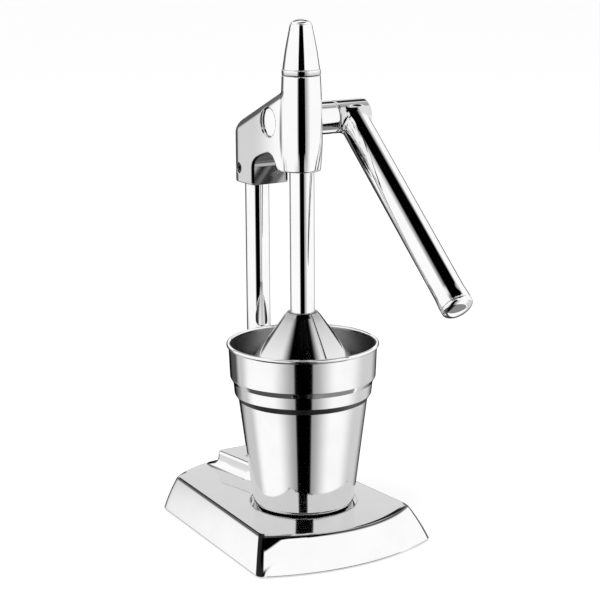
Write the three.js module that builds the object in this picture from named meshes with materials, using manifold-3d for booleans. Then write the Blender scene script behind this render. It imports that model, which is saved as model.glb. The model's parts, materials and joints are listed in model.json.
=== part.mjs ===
// Lever citrus juice press: a cast base, a column, a head with a rack and pinion,
// a ram with a press bell, and a loose cup with its strainer and reamer.
// Millimetres, +Z up. The origin lies on the ram's axis, at the table.
// X runs to the lever's side, Y to the back.
import * as THREE from 'three';
import { mergeVertices } from 'three/addons/utils/BufferGeometryUtils.js';
import Module from 'manifold-3d';

const wasm = await Module();
wasm.setup();

// Counts and angles
const ROUND = 36;                 // steps of a large turned form
const HEX = 6;                    // sides of a hexagon
const SMALL = 16;                 // steps of a small turned form
const RIGHT_ANGLE = Math.PI / 2;
const FULL_TURN = Math.PI * 2;
const LEVER_DROP = THREE.MathUtils.degToRad(40.7);   // lever below level, at rest
const HEAD_SLOPE = Math.atan(0.447);                 // fall of the head's top to the rear

// Fits
const fitGap = 0.3;               // radial gap of pieces that are pushed or screwed together
const runGap = 0.3;               // radial gap of pieces that turn or slide
const keyFit = 0.3;               // gap all round the shaft's key
const faceGap = 0.5;              // axial gap of turning faces
const overrun = 2;                // how far a cutting form runs past the face it cuts

// Cup, one drawn wall with two steps and a rolled rim: heights and radii add up from the foot
const cupWall = 1.2;
const cupFootRadius = 41.4;
const cupFootCorner = 4.5;
const cupBodyHeight = 89.5;       // tapering wall below the steps
const cupTaper = 11.4;            // radius that this wall gains
const cupShoulder = 5;            // lower shoulder, with its gain of radius
const cupShoulderGain = 3.2;
const cupStep = 9.5;              // short band between the shoulders
const cupStepGain = 1;
const cupUpperShoulder = 4.5;
const cupUpperShoulderGain = 2.5;
const cupBand = 24.9;             // tall band under the rim
const cupBandGain = 1.1;
const cupRollRadius = 1.6;
const cupNeckRadius = cupFootRadius + cupTaper;
const cupStepFootRadius = cupNeckRadius + cupShoulderGain;
const cupStepRadius = cupStepFootRadius + cupStepGain;
const cupBandFootRadius = cupStepRadius + cupUpperShoulderGain;
const cupBandTopRadius = cupBandFootRadius + cupBandGain;
const cupRimRadius = cupBandTopRadius + cupRollRadius;

// Column
const columnRadius = 10;
const cupToColumn = 0.4;          // room between the cup's rim and the column
const columnY = cupRimRadius + cupToColumn + columnRadius;
const columnGrip = 37;            // column's depth in the head
const columnBoltRadius = 5;
const columnBoltHeadGain = 4.8;
const columnBoltHeadRadius = columnBoltRadius + columnBoltHeadGain;
const columnBoltHead = 6.4;
const columnBoltLength = 30;
const columnWasherGain = 2.2;
const columnWasherRadius = columnBoltHeadRadius + columnWasherGain;
const columnWasher = 1.5;

// Base casting
const baseHeight = 29;            // top edge above the table
const baseCrown = 3.5;            // rise of the top face towards its middle
const baseLift = 1.2;             // casting's lower edge above the table
const baseRearHalf = 58.6;        // half width of the top edge at the rear corners
const baseFrontHalf = 67;         // half width of the top edge at the front corners
const baseRearLength = 39.4;      // rear corners behind the column
const baseRearY = columnY + baseRearLength;
const baseFrontY = -48;           // front corners
const baseFrontBow = 24.5;        // bow of the front edge past its corners
const baseRearBow = 23;           // bow of the rear edge past its corners
const baseBulge = 16;             // side wall's reach past the top edge
const frontCornerShare = 1.2;     // the front corners' reach to the front, as a share of it
const frontBowShare = 0.85;       // the same in the middle of the front
const rearShare = 0.3;            // the same at the rear edge
const cornerShare = 0.5;          // rounding of the corners, as a share of the reach
const baseCornerRound = 2;        // rounding of the top edge's corners
const bulgeHeightShare = 0.34;    // height of the side wall's widest line, of the base's height
const baseBulgeHeight = baseHeight * bulgeHeightShare;
const baseFootTuck = 3;           // side wall's return below that line
const baseWall = 6;               // wall of the hollow casting
const baseRoof = 5;               // roof of the hollow casting at its edge

// Boss that holds the column
const bossRise = 16.5;            // boss's top above the base's top edge
const bossTop = baseHeight + bossRise;
const bossWall = 5;
const bossFrontRadius = columnRadius + bossWall;
const bossSpread = 5;             // how much wider the boss is at the rear
const bossRearHalf = bossFrontRadius + bossSpread;
const bossRearLength = 42.4;      // boss's rear edge behind the column's axis
const bossRearY = columnY + bossRearLength;
const bossFlare = 3.5;            // spread of the foot at the front and sides
const bossRearFlare = 15;         // spread of the foot at the rear
const bossRearCorner = 5;
const columnFloor = 5;            // floor under the column, over the pad's face
const columnPadDepth = 13;        // pad below the roof of the hollow
const columnPadBottom = baseHeight - baseRoof - columnPadDepth;
const columnBottom = columnPadBottom + columnFloor;
const columnPadGain = 7;
const columnPadRadius = columnWasherRadius + columnPadGain;

// Cup seat and feet
const seatMargin = 3.1;           // seat wider than the cup's foot
const seatRadius = cupFootRadius + seatMargin;
const seatRise = 1;               // seat above the top edge, sunk in the crown
const seatHeight = baseHeight + seatRise;
const footRadius = 9;
const footHeight = 6;
const footChamfer = 1;
const footInset = 9;              // feet in from the top edge's corners, to the side
const footSetback = 4;            // front feet behind the front corners
const footRearSetback = 10;       // rear feet before the rear corners
const footFrontX = baseFrontHalf - footInset;
const footFrontY = baseFrontY + footSetback;
const footRearX = baseRearHalf - footInset;
const footRearY = baseRearY - footRearSetback;
const pegRadius = 4;
const pegLength = 8;              // peg of the foot in the casting
const padMargin = 2;              // pad of the casting wider than the foot

// Pinion and rack teeth
const toothModule = 1.5;
const pinionTeeth = 18;
const dedendumShare = 1.25;       // depth below the pitch line, in modules
const pitchRadius = toothModule * pinionTeeth / 2;
const addendum = toothModule;
const dedendum = dedendumShare * toothModule;
const toothPitch = Math.PI * toothModule;
const toothWidthShare = 0.44;     // tooth's width at the pitch line, of the pitch, with its backlash
const toothWidth = toothPitch * toothWidthShare;
const flankShare = 0.36;          // tangent of the tooth's flank
const pinionRootShare = 1.2;      // tooth's angle at its root and tip, of that at the pitch line
const pinionTipShare = 0.35;
const pinionHalf = 5;             // half width of the pinion
const pocketHalf = pinionHalf + faceGap;
const pocketGap = 0.6;            // room between the teeth and their pocket
const pocketRadius = pitchRadius + addendum + pocketGap;

// Ram and the rack in its back
const ramRadius = 10;
const ramFlat = 4;                // depth of the flat that carries the rack
const rackSeatY = ramRadius - ramFlat;
const rackBody = 3.3;             // rack's thickness under its teeth
const rackRootY = rackSeatY + rackBody;
const rackPitchY = rackRootY + dedendum;
const rackTipY = rackPitchY + addendum;
const rackHalf = 3.6;             // half width of the rack
const rackScrewRadius = 2;
const rackScrewLength = 6;
const ramTailCut = 3.5;           // ram's upper end thinner than the ram
const ramTailRadius = ramRadius - ramTailCut;
const ramCorner = 1;

// Lever shaft and its bushes
const shaftY = rackPitchY + pitchRadius;
const shaftRadius = 8;
const keyHalf = 1.5;              // half width of the key between shaft and pinion
const keySink = 2;                // key's depth in the shaft
const keyRise = 1.4;              // key's rise above the shaft
const bushWall = 2.5;
const bushRadius = shaftRadius + bushWall;
const bushLip = 1.2;              // flange wider than the bush
const bushFlangeRadius = bushRadius + bushLip;
const bushFlange = 2;
const bushSink = 2;               // flange's face below the cheek
const sideBossWall = 3;
const sideBossRadius = bushRadius + sideBossWall;

// Head casting
const headHeight = 306.5;         // barrel's lower edge above the table
const barrelBottom = headHeight;
const barrelLength = 76.2;
const barrelTop = barrelBottom + barrelLength;
const barrelRoom = 0.42;          // room round the rack's tips in the bore
const barrelBore = Math.hypot(rackTipY, rackHalf) + barrelRoom;
const barrelWall = 1.8;
const barrelTopRadius = barrelBore + barrelWall;
const barrelSwell = 1.35;         // widest line's gain over the top
const barrelRadius = barrelTopRadius + barrelSwell;
const barrelDraw = 0.2;           // lower edge's loss of radius below the top's
const barrelBottomRadius = barrelTopRadius - barrelDraw;
const bellyShare = 0.375;         // height of the widest line, of the barrel's length
const barrelBelly = barrelBottom + barrelLength * bellyShare;
const barrelCorner = 1.6;
const cheekHalf = 16.6;           // half thickness of the head between the barrel and the leg
const shaftRise = 37.3;           // shaft's axis above the barrel's lower edge
const shaftZ = barrelBottom + shaftRise;
const legWall = 7.3;
const legRadius = columnRadius + legWall;        // round back of the leg, about the column
const legDrop = 17.5;             // leg's lower edge below the barrel's
const legBottom = barrelBottom - legDrop;
const legFront = 22.1;            // leg's front face before the column's axis
const legFrontY = columnY - legFront;
const pocketRoof = 2.3;           // metal over the pinion's pocket
const headTopClear = pocketRadius + pocketRoof;  // sloping top face from the shaft's axis
const headEdgeRadius = 8.5;       // rounding along the edge of the sloping top
const archRise = 12.1;            // arch roof above the barrel's lower edge
const archFrontY = 8.7;
const columnTop = legBottom + columnGrip;
const setScrewRise = 12;          // set screw above the leg's lower edge
const setScrewHeight = legBottom + setScrewRise;
const setScrewRadius = 4;
const setScrewLength = 7;
const setScrewSink = 1;
const setScrewSocket = 2.2;
const setScrewSocketDepth = 3;
const sideBossEnd = 43.7;
const shaftLeftEnd = cheekHalf - bushSink - bushFlange - faceGap;

// Ram guides, collar and cap
const guideRise = 2.8;            // ledge that stops the rack, above the barrel's lower edge
const guideLedge = barrelBottom + guideRise;
const guideWall = 9.7;            // slotted length of the guide bush over that ledge
const guideTop = guideLedge + guideWall;
const guideRecess = 0.4;          // guide bush above the barrel's lower edge
const rackBottom = guideLedge + runGap;
const rackOver = 4.5;             // rack's top above the shaft's axis
const rackTop = shaftZ + rackOver;
const shoulderOver = 0.7;         // ram's shoulder above the rack
const ramShoulder = rackTop + shoulderOver;
const collarSpigot = 3.7;
const collarSpigotBottom = barrelTop - collarSpigot;
const collarHeight = 4.5;
const collarTop = barrelTop + collarHeight;
const collarRadius = barrelTopRadius;
const collarNeckWall = 5.1;
const collarNeckRadius = ramTailRadius + runGap + collarNeckWall;
const collarNeck = 4.8;
const collarNeckTop = collarTop + collarNeck;
const capSeam = 0.5;              // cap's step in at the seam
const capSeamRadius = collarRadius - capSeam;
const capHeight = 35.2;           // seam to nose
const capNose = collarTop + capHeight;
const waistShare = 0.42;          // height of the waist, of the cap's
const capWaist = collarTop + capHeight * waistShare;
const capDraw = 2.5;              // loss of radius from seam to waist
const capWaistRadius = capSeamRadius - capDraw;
const capNoseWall = 1.5;
const capBoreTopGain = 0.7;       // cap's bore wider than the ram's end, at its top
const capBoreTopRadius = ramTailRadius + capBoreTopGain;
const capNoseRadius = capBoreTopRadius + capNoseWall;
const capButtonStep = 0.6;
const capButtonRadius = capNoseRadius - capButtonStep;
const capButton = 4;
const capTop = capNose + capButton;
const capCrown = 5.9;             // metal over the cap's bore
const capBoreTop = capTop - capCrown;
const ramTravel = collarSpigotBottom - ramShoulder - runGap;
const ramTopClear = 1.8;          // room over the ram when it is raised
const ramTop = capBoreTop - ramTravel - ramTopClear;

// Strainer and reamer
const strainerWall = 1.2;
const strainerOver = 0.2;         // strainer's rim wider than the cup's neck
const strainerRadius = cupNeckRadius + strainerOver;
const strainerDish = 4;           // depth of the perforated ring below the rim
const strainerLip = 2.2;
const strainerLipGain = 0.9;
const strainerLipRadius = strainerRadius + strainerLipGain;
const cupNeck = seatHeight + cupBodyHeight;
const shoulderShare = cupShoulder / cupShoulderGain;
const strainerLedge = cupNeck + (strainerOver + cupWall) * shoulderShare + fitGap;
const strainerPlate = strainerLedge - strainerDish;
const holeRadius = 1.8;
const holeSides = 6;
const holeRows = 2;
const holesInRow = 20;
const reamerSides = 12;           // ribs of the reamer
const reamerGap = 16.8;           // reamer's edge in from the cup's neck
const reamerRadius = cupNeckRadius - reamerGap;
const reamerHeight = 30;
const reamerWall = 2;
const reamerTipRadius = 4;
const reamerRibRise = 2.4;
const reamerRibHalf = 1.4;
const reamerSkirt = 3;
const holeMargin = 5.5;           // inner row of holes outside the reamer
const holeFirstRow = reamerRadius + holeMargin;
const holeRowStep = 5.2;

// Press bell
const bellClear = 17.5;           // bell's rim over the strainer's
const bellRimBottom = strainerLedge + bellClear;
const bellRimDepth = 5;
const bellRimTop = bellRimBottom + bellRimDepth;
const bellInset = 6.8;            // bell's rim in from the cup's neck
const bellRimRadius = cupNeckRadius - bellInset;
const bellSlopeShare = 0.708;     // radius gained on the way down, for the height
const bellShoulderGain = 5.2;
const bellShoulderRadius = ramRadius + bellShoulderGain;
const bellShoulderStep = 2.8;
const bellConeTopRadius = bellShoulderRadius + bellShoulderStep;
const bellConeTop = bellRimTop + (bellRimRadius - bellConeTopRadius) / bellSlopeShare;
const bellShoulderHeight = 4.4;
const bellShoulder = bellConeTop + bellShoulderHeight;
const bellNeckHeight = 3.2;
const bellTop = bellShoulder + bellNeckHeight;
const bellNeckWall = 1.6;
const bellNeckRadius = ramRadius + bellNeckWall;
const bellSocket = 12.6;          // ram's depth in the bell
const ramBottom = bellTop - bellSocket;
const bellWall = 3.5;
const bellFloor = 6.5;            // metal under the ram
const bellCrownBottom = ramBottom - bellFloor;
const bellCrownRadius = 14;
const bellScrewRadius = 3;
const bellScrewLength = 20;
const bellScrewHeadRadius = 5;
const bellScrewHead = 3;
const bellWasherGain = 3;
const bellWasherRadius = bellScrewHeadRadius + bellWasherGain;
const bellWasher = 1;

// Lever
const hubRadius = sideBossRadius;
const hubStart = sideBossEnd + faceGap;
const hubLength = 30.3;
const hubEnd = hubStart + hubLength;
const hubRecess = 5.6;            // recess in the hub's end, for washer and screw
const hubWasherRadius = 10;
const hubRecessRadius = hubWasherRadius + fitGap;
const armShare = 0.52;            // arm's place along the hub
const leverX = hubStart + hubLength * armShare;
const leverRadius = 12.5;
const leverFlareGain = 0.5;
const leverEndRadius = leverRadius + leverFlareGain;
const leverWall = 2;
const leverOffset = 2.2;          // arm's axis above the shaft's axis
const leverLength = 201;          // shaft's axis to the end cap's seam
const leverPlug = 10.5;           // solid stretch of the arm beside the hub
const leverBoreStart = hubRadius + leverPlug;
const leverFlare = 14;            // length of the slight flare at the end
const endCapDome = 7.5;
const endCapSpigot = 12;
const shaftEnd = hubEnd - hubRecess - fitGap;
const hubWasher = 1.5;
const hubScrewRadius = 3;
const hubScrewHeadGain = 2.5;
const hubScrewHeadRadius = hubScrewRadius + hubScrewHeadGain;
const hubScrewHead = 3.2;
const hubScrewLength = 12;
const gripScrewRadius = 3;
const gripScrewLength = 4.6;

// Colours of the finishes
const CHROME = { color: 0xd9dadb, roughness: 0.08, metalness: 1 };
const STAINLESS = { color: 0xcfcfcf, roughness: 0.24, metalness: 1 };
const STEEL = { color: 0xa9a9ab, roughness: 0.4, metalness: 1 };
const DARK_STEEL = { color: 0x2b2b2d, roughness: 0.45, metalness: 0.8 };
const BRONZE = { color: 0xb08a4f, roughness: 0.4, metalness: 1 };
const RUBBER = { color: 0x1d1d1d, roughness: 0.85, metalness: 0 };

const group = new THREE.Group();

// Solids from geometries, and back
function closedSolid(geometry) {
  const bare = geometry.index ? geometry.toNonIndexed() : geometry.clone();
  for (const name of Object.keys(bare.attributes)) {
    if (name !== 'position') bare.deleteAttribute(name);
  }
  const merged = mergeVertices(bare);
  const index = Array.from(merged.index.array);
  const kept = [];
  for (let i = 0; i < index.length; i += 3) {
    const [a, b, c] = index.slice(i, i + 3);
    if (a !== b && b !== c && c !== a) kept.push(a, b, c);
  }
  const make = (triangles) => new wasm.Manifold(new wasm.Mesh({
    numProp: 3,
    vertProperties: new Float32Array(merged.attributes.position.array),
    triVerts: new Uint32Array(triangles),
  }));
  const body = make(kept);
  return body.volume() > 0 ? body : make(kept.reverse());
}

function geometryOf(body) {
  const mesh = body.getMesh();
  const geometry = new THREE.BufferGeometry();
  geometry.setAttribute('position', new THREE.BufferAttribute(new Float32Array(mesh.vertProperties), 3));
  geometry.setIndex(new THREE.BufferAttribute(new Uint32Array(mesh.triVerts), 1));
  geometry.computeVertexNormals();
  return geometry;
}

const union = (first, ...rest) => rest.reduce((sum, body) => sum.add(body), first);
const cut = (first, ...rest) => rest.reduce((body, tool) => body.subtract(tool), first);

function addPiece(name, body, finish, parent = group) {
  const mesh = new THREE.Mesh(geometryOf(body), new THREE.MeshStandardMaterial(finish));
  mesh.name = name;
  parent.add(mesh);
  return mesh;
}

// Forms
const point = (x, y) => new THREE.Vector2(x, y);

// A turned form about Z from points of radius and height.
function turned(points, steps = ROUND) {
  const geometry = new THREE.LatheGeometry(points.map(([r, z]) => point(r, z)), steps);
  geometry.rotateX(RIGHT_ANGLE);
  return closedSolid(geometry);
}

function rod(radius, low, high, steps = ROUND) {
  return turned([[0, low], [radius, low], [radius, high], [0, high]], steps);
}

function ring(inner, outer, low, high, steps = ROUND) {
  return turned([[inner, low], [outer, low], [outer, high], [inner, high], [inner, low]], steps);
}

// The same rod laid along X, between two values of X.
function rodAlongX(radius, from, to, y, z, steps = ROUND) {
  return rod(radius, from, to, steps).rotate([0, 90, 0]).translate([0, y, z]);
}

// A thin rod laid along Y through the ram's axis, at a height.
function rodAlongY(radius, from, to, z) {
  return rod(radius, from, to, SMALL).rotate([-90, 0, 0]).translate([0, 0, z]);
}

function block(x0, x1, y0, y1, z0, z1) {
  const geometry = new THREE.BoxGeometry(x1 - x0, y1 - y0, z1 - z0);
  geometry.translate((x0 + x1) / 2, (y0 + y1) / 2, (z0 + z1) / 2);
  return closedSolid(geometry);
}

// A flat outline in Y and Z, given thickness along X.
function plateAlongX(points, half) {
  const shape = new THREE.Shape(points.map(([y, z]) => point(y, z)));
  const geometry = new THREE.ExtrudeGeometry(shape, { depth: half * 2, bevelEnabled: false });
  geometry.translate(0, 0, -half);
  geometry.rotateY(RIGHT_ANGLE);
  geometry.rotateX(RIGHT_ANGLE);
  return closedSolid(geometry);
}

// A body with one ring of points for each level; every ring has as many points.
function lofted(rings) {
  const count = rings[0].length;
  const position = [];
  rings.forEach((level) => level.forEach((p) => position.push(p.x, p.y, p.z)));
  const index = [];
  for (let k = 0; k + 1 < rings.length; k += 1) {
    for (let i = 0; i < count; i += 1) {
      const j = (i + 1) % count;
      const low = k * count;
      const high = low + count;
      index.push(low + i, low + j, high + j, low + i, high + j, high + i);
    }
  }
  const flat = rings[0].map((p) => point(p.x, p.y));
  const floor = THREE.ShapeUtils.triangulateShape(flat, []);
  floor.forEach(([a, b, c]) => index.push(a, c, b));
  const last = (rings.length - 1) * count;
  const ceiling = THREE.ShapeUtils.triangulateShape(rings.at(-1).map((p) => point(p.x, p.y)), []);
  ceiling.forEach(([a, b, c]) => index.push(last + a, last + b, last + c));
  const geometry = new THREE.BufferGeometry();
  geometry.setAttribute('position', new THREE.Float32BufferAttribute(position, 3));
  geometry.setIndex(index);
  return closedSolid(geometry);
}

// Base outline: bowed front and rear edges, straight sides that narrow to the rear.
const bowSteps = 10;
const sideSteps = 3;
const roundSteps = 4;
const bowRadius = (half, bow) => (half * half + bow * bow) / (2 * bow);

// Depth of a bowed edge at x, on the circle through its corners and its middle.
function bowDepth(half, bow, x) {
  const radius = bowRadius(half, bow);
  return Math.sqrt(radius * radius - x * x) - (radius - bow);
}

// A corner between two neighbours, eased by a curve that starts and ends at a distance from it.
function easedCorner(before, corner, after, distance) {
  const towards = (p) => {
    const length = Math.hypot(p[0] - corner[0], p[1] - corner[1]);
    return [0, 1].map((k) => corner[k] + (p[k] - corner[k]) * distance / length);
  };
  const start = towards(before);
  const end = towards(after);
  const points = [];
  for (let i = 0; i <= roundSteps; i += 1) {
    const t = i / roundSteps;
    points.push([0, 1].map((k) => (1 - t) ** 2 * start[k] + 2 * t * (1 - t) * corner[k] + t * t * end[k]));
  }
  return points;
}

function baseOutline(outset) {
  const frontHalf = baseFrontHalf + outset;
  const rearHalf = baseRearHalf + outset;
  const frontY = baseFrontY - outset * frontCornerShare;
  const rearY = baseRearY + outset * rearShare;
  const frontBow = baseFrontBow - outset * (frontCornerShare - frontBowShare);
  const round = baseCornerRound + Math.max(outset, 0) * cornerShare;
  const edge = (half, y, bow, from) => {
    const points = [];
    for (let i = 0; i <= bowSteps; i += 1) {
      const x = from * half * (1 - 2 * i / bowSteps);
      points.push([x, y + Math.sign(bow) * bowDepth(half, Math.abs(bow), x)]);
    }
    return points;
  };
  const front = edge(frontHalf, frontY, -frontBow, -1);
  const rear = edge(rearHalf, rearY, baseRearBow, 1);
  const side = (from, to) => {
    const points = [];
    for (let i = 1; i < sideSteps; i += 1) {
      const t = i / sideSteps;
      points.push([from[0] + (to[0] - from[0]) * t, from[1] + (to[1] - from[1]) * t]);
    }
    return points;
  };
  const last = bowSteps;
  return [
    ...easedCorner(rear[last], front[0], front[1], round),
    ...front.slice(1, last),
    ...easedCorner(front[last - 1], front[last], rear[0], round),
    ...side(front[last], rear[0]),
    ...easedCorner(front[last], rear[0], rear[1], round),
    ...rear.slice(1, last),
    ...easedCorner(rear[last - 1], rear[last], front[0], round),
    ...side(rear[last], front[0]),
  ];
}

// Side wall's reach past the top edge, at a height: a quarter oval, tucked in again at the foot.
function wallReach(z) {
  if (z > baseBulgeHeight) {
    const rise = Math.min((z - baseBulgeHeight) / (baseHeight - baseBulgeHeight), 1);
    return baseBulge * Math.sqrt(1 - rise * rise);
  }
  const fall = 1 - z / baseBulgeHeight;
  return baseBulge - baseFootTuck * fall * fall;
}

const baseMiddleY = (baseRearY + baseFrontY) / 2;
const wallLevelShares = [0, 0.35, 0.6, 0.78, 0.9, 0.97];   // of the height above the widest line
const crownShares = [0.85, 0.65, 0.42, 0.18];              // of the way from the middle to the edge

function baseBody() {
  const level = (z, outset) => baseOutline(outset).map(([x, y]) => new THREE.Vector3(x, y, z));
  const tuckHeight = baseBulgeHeight / 2;
  const rings = [level(baseLift, wallReach(baseLift)), level(tuckHeight, wallReach(tuckHeight))];
  for (const share of wallLevelShares) {
    const z = baseBulgeHeight + (baseHeight - baseBulgeHeight) * share;
    rings.push(level(z, wallReach(z)));
  }
  rings.push(level(baseHeight, 0));
  for (const share of crownShares) {
    rings.push(baseOutline(0).map(([x, y]) => new THREE.Vector3(
      x * share,
      baseMiddleY + (y - baseMiddleY) * share,
      baseHeight + baseCrown * (1 - share * share),
    )));
  }
  return lofted(rings);
}

function baseHollow() {
  const level = (z, outset) => baseOutline(outset).map(([x, y]) => new THREE.Vector3(x, y, z));
  const roof = baseHeight - baseRoof;
  const low = baseLift - overrun;
  return lofted([
    level(low, wallReach(baseLift) - baseWall),
    level(baseBulgeHeight, baseBulge - baseWall),
    level((baseBulgeHeight + roof) / 2, wallReach((baseBulgeHeight + roof) / 2) - baseWall),
    level(roof, wallReach(roof) - baseWall),
  ]);
}

// Column boss: an arc round the column that widens to a straight rear edge.
const bossSteps = 20;
const cornerSteps = 4;

function bossOutline(frontRadius, rearHalf, rearY, z) {
  const points = [];
  for (let i = 0; i <= bossSteps; i += 1) {
    const a = -Math.PI + Math.PI * i / bossSteps;
    points.push(new THREE.Vector3(frontRadius * Math.cos(a), columnY + frontRadius * Math.sin(a), z));
  }
  for (const side of [1, -1]) {
    for (let i = 0; i <= cornerSteps; i += 1) {
      const t = RIGHT_ANGLE * i / cornerSteps;
      const a = side > 0 ? t : RIGHT_ANGLE + t;
      points.push(new THREE.Vector3(
        side * (rearHalf - bossRearCorner) + bossRearCorner * Math.cos(a),
        rearY - bossRearCorner + bossRearCorner * Math.sin(a),
        z,
      ));
    }
  }
  return points;
}

function columnBoss() {
  const low = baseHeight - baseRoof;
  const foot = baseHeight + baseCrown / 2;
  const rings = [];
  const flareShares = [[0, 1], [0.25, 0.5], [0.55, 0.18], [0.85, 0.02], [1, 0]];
  rings.push(bossOutline(bossFrontRadius + bossFlare, bossRearHalf + bossFlare, bossRearY + bossFlare, low));
  for (const [rise, spread] of flareShares) {
    rings.push(bossOutline(
      bossFrontRadius + bossFlare * spread,
      bossRearHalf + bossFlare * spread,
      bossRearY + bossRearFlare * spread,
      foot + (bossTop - foot) * rise,
    ));
  }
  return lofted(rings);
}

const footPlaces = [
  ['front_left', -footFrontX, footFrontY],
  ['front_right', footFrontX, footFrontY],
  ['rear_left', -footRearX, footRearY],
  ['rear_right', footRearX, footRearY],
];

function makeBase() {
  const roof = baseHeight - baseRoof + overrun;
  let body = cut(baseBody(), baseHollow());
  body = union(body, columnBoss(), rod(columnPadRadius, columnPadBottom, roof).translate([0, columnY, 0]));
  for (const [, x, y] of footPlaces) {
    body = union(body, rod(footRadius + padMargin, footHeight, roof, SMALL).translate([x, y, 0]));
  }
  const tools = [
    rod(seatRadius, seatHeight, seatHeight + baseHeight),
    rod(columnRadius + fitGap, columnBottom, bossTop + overrun).translate([0, columnY, 0]),
    rod(columnBoltRadius + fitGap, 0, columnBottom + overrun, SMALL).translate([0, columnY, 0]),
  ];
  for (const [, x, y] of footPlaces) {
    tools.push(rod(pegRadius + fitGap, 0, footHeight + pegLength + fitGap, SMALL).translate([x, y, 0]));
  }
  addPiece('base_casting', cut(body, ...tools), CHROME);
}

function makeFeet() {
  for (const [place, x, y] of footPlaces) {
    const foot = turned([
      [0, 0],
      [footRadius - footChamfer, 0],
      [footRadius, footChamfer],
      [footRadius, footHeight],
      [pegRadius, footHeight],
      [pegRadius, footHeight + pegLength],
      [0, footHeight + pegLength],
    ], SMALL);
    addPiece(`rubber_foot_${place}`, foot.translate([x, y, 0]), RUBBER);
  }
}

// Column with its bolt from below
function makeColumn() {
  const column = cut(
    rod(columnRadius, columnBottom, columnTop),
    rod(columnBoltRadius + fitGap, columnBottom - overrun, columnBottom + columnBoltLength, SMALL),
  );
  addPiece('column', column.translate([0, columnY, 0]), CHROME);
  const washerLow = columnPadBottom - columnWasher;
  addPiece('column_washer', ring(columnBoltRadius + fitGap, columnWasherRadius, washerLow, columnPadBottom)
    .translate([0, columnY, 0]), STEEL);
  const bolt = union(
    rod(columnBoltHeadRadius, washerLow - columnBoltHead, washerLow, HEX),
    rod(columnBoltRadius, washerLow - overrun, washerLow + columnBoltLength, SMALL),
  );
  addPiece('column_bolt', bolt.translate([0, columnY, 0]), STEEL);
}

// Head casting
// Arch outline from the barrel to the leg: shares of its span and of its rise.
const halfRoundSteps = ROUND / 2;
const archShares = [[0, 0], [0.065, 0.13], [0.15, 0.55], [0.24, 0.87], [0.33, 0.98], [0.4, 1],
  [0.61, 0.8], [0.8, 0.55], [0.87, 0.42], [0.93, 0.26], [0.975, 0.08], [1, -0.2]];

function topHeight(y) {
  return shaftZ + (headTopClear / Math.cos(HEAD_SLOPE)) - (y - shaftY) * Math.tan(HEAD_SLOPE);
}

function headProfile() {
  const span = legFrontY - archFrontY;
  const rearY = columnY + legRadius + overrun;
  const arch = archShares.map(([s, r]) => [archFrontY + span * s, barrelBottom + archRise * r]);
  return [[0, barrelBottom], ...arch, [legFrontY, legBottom], [rearY, legBottom],
    [rearY, topHeight(rearY)], [0, topHeight(0)]];
}

// Stadium in plan, a half round about the ram and one about the column, under the sloping
// top. Along the top edge the rings are drawn in and raised on a quarter circle.
function headBlock() {
  const ringAt = (inset, heightAt) => {
    const points = [];
    for (let i = 0; i <= halfRoundSteps; i += 1) {
      const a = Math.PI + Math.PI * i / halfRoundSteps;
      const r = cheekHalf - inset;
      points.push([r * Math.cos(a), r * Math.sin(a)]);
    }
    for (let i = 0; i <= halfRoundSteps; i += 1) {
      const a = Math.PI * i / halfRoundSteps;
      const r = legRadius - inset;
      points.push([r * Math.cos(a), columnY + r * Math.sin(a)]);
    }
    return points.map(([x, y]) => new THREE.Vector3(x, y, heightAt(y)));
  };
  const rings = [ringAt(0, () => legBottom - overrun)];
  for (let i = 0; i <= roundSteps; i += 1) {
    const a = RIGHT_ANGLE * i / roundSteps;
    const inset = headEdgeRadius * (1 - Math.cos(a));
    const drop = headEdgeRadius * (1 - Math.sin(a));
    rings.push(ringAt(inset, (y) => topHeight(y) - drop));
  }
  return lofted(rings);
}

function barrel() {
  return turned([
    [0, barrelBottom],
    [barrelBottomRadius - barrelCorner, barrelBottom],
    [barrelBottomRadius, barrelBottom + barrelCorner],
    [barrelRadius - (barrelRadius - barrelBottomRadius) / 4, (barrelBottom + barrelBelly) / 2],
    [barrelRadius, barrelBelly],
    [barrelRadius - (barrelRadius - barrelTopRadius) / 3, (barrelTop + barrelBelly) / 2],
    [barrelTopRadius, barrelTop],
    [0, barrelTop],
  ]);
}

function makeHead() {
  const web = plateAlongX(headProfile(), legRadius + overrun).intersect(headBlock());
  const body = union(web, barrel(), rodAlongX(sideBossRadius, 0, sideBossEnd, shaftY, shaftZ));
  const faceX = cheekHalf + overrun;
  const bushHole = bushRadius + fitGap;
  const tools = [
    rod(barrelBore, barrelBottom - overrun, barrelTop + overrun),
    rodAlongX(pocketRadius, -pocketHalf, pocketHalf, shaftY, shaftZ),
    block(-pocketHalf, pocketHalf, shaftY - pocketRadius, shaftY + pocketRadius, barrelBottom, shaftZ),
    rodAlongX(bushHole, -faceX, sideBossEnd + overrun, shaftY, shaftZ),
    rodAlongX(bushFlangeRadius + fitGap, -faceX, -cheekHalf + bushSink + bushFlange, shaftY, shaftZ),
    rod(columnRadius + fitGap, legBottom - overrun, columnTop + fitGap).translate([0, columnY, 0]),
    rodAlongX(setScrewRadius + fitGap, -legRadius - overrun, 0, columnY, setScrewHeight, SMALL),
  ];
  addPiece('head_casting', cut(body, ...tools), CHROME);

  const tip = -columnRadius - fitGap;
  const screw = cut(
    rodAlongX(setScrewRadius, tip - setScrewLength + setScrewSink, tip, columnY, setScrewHeight, SMALL),
    rodAlongX(setScrewSocket, tip - setScrewLength, tip - setScrewLength + setScrewSink + setScrewSocketDepth,
      columnY, setScrewHeight, HEX),
  );
  addPiece('column_set_screw', screw, DARK_STEEL);
}

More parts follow.
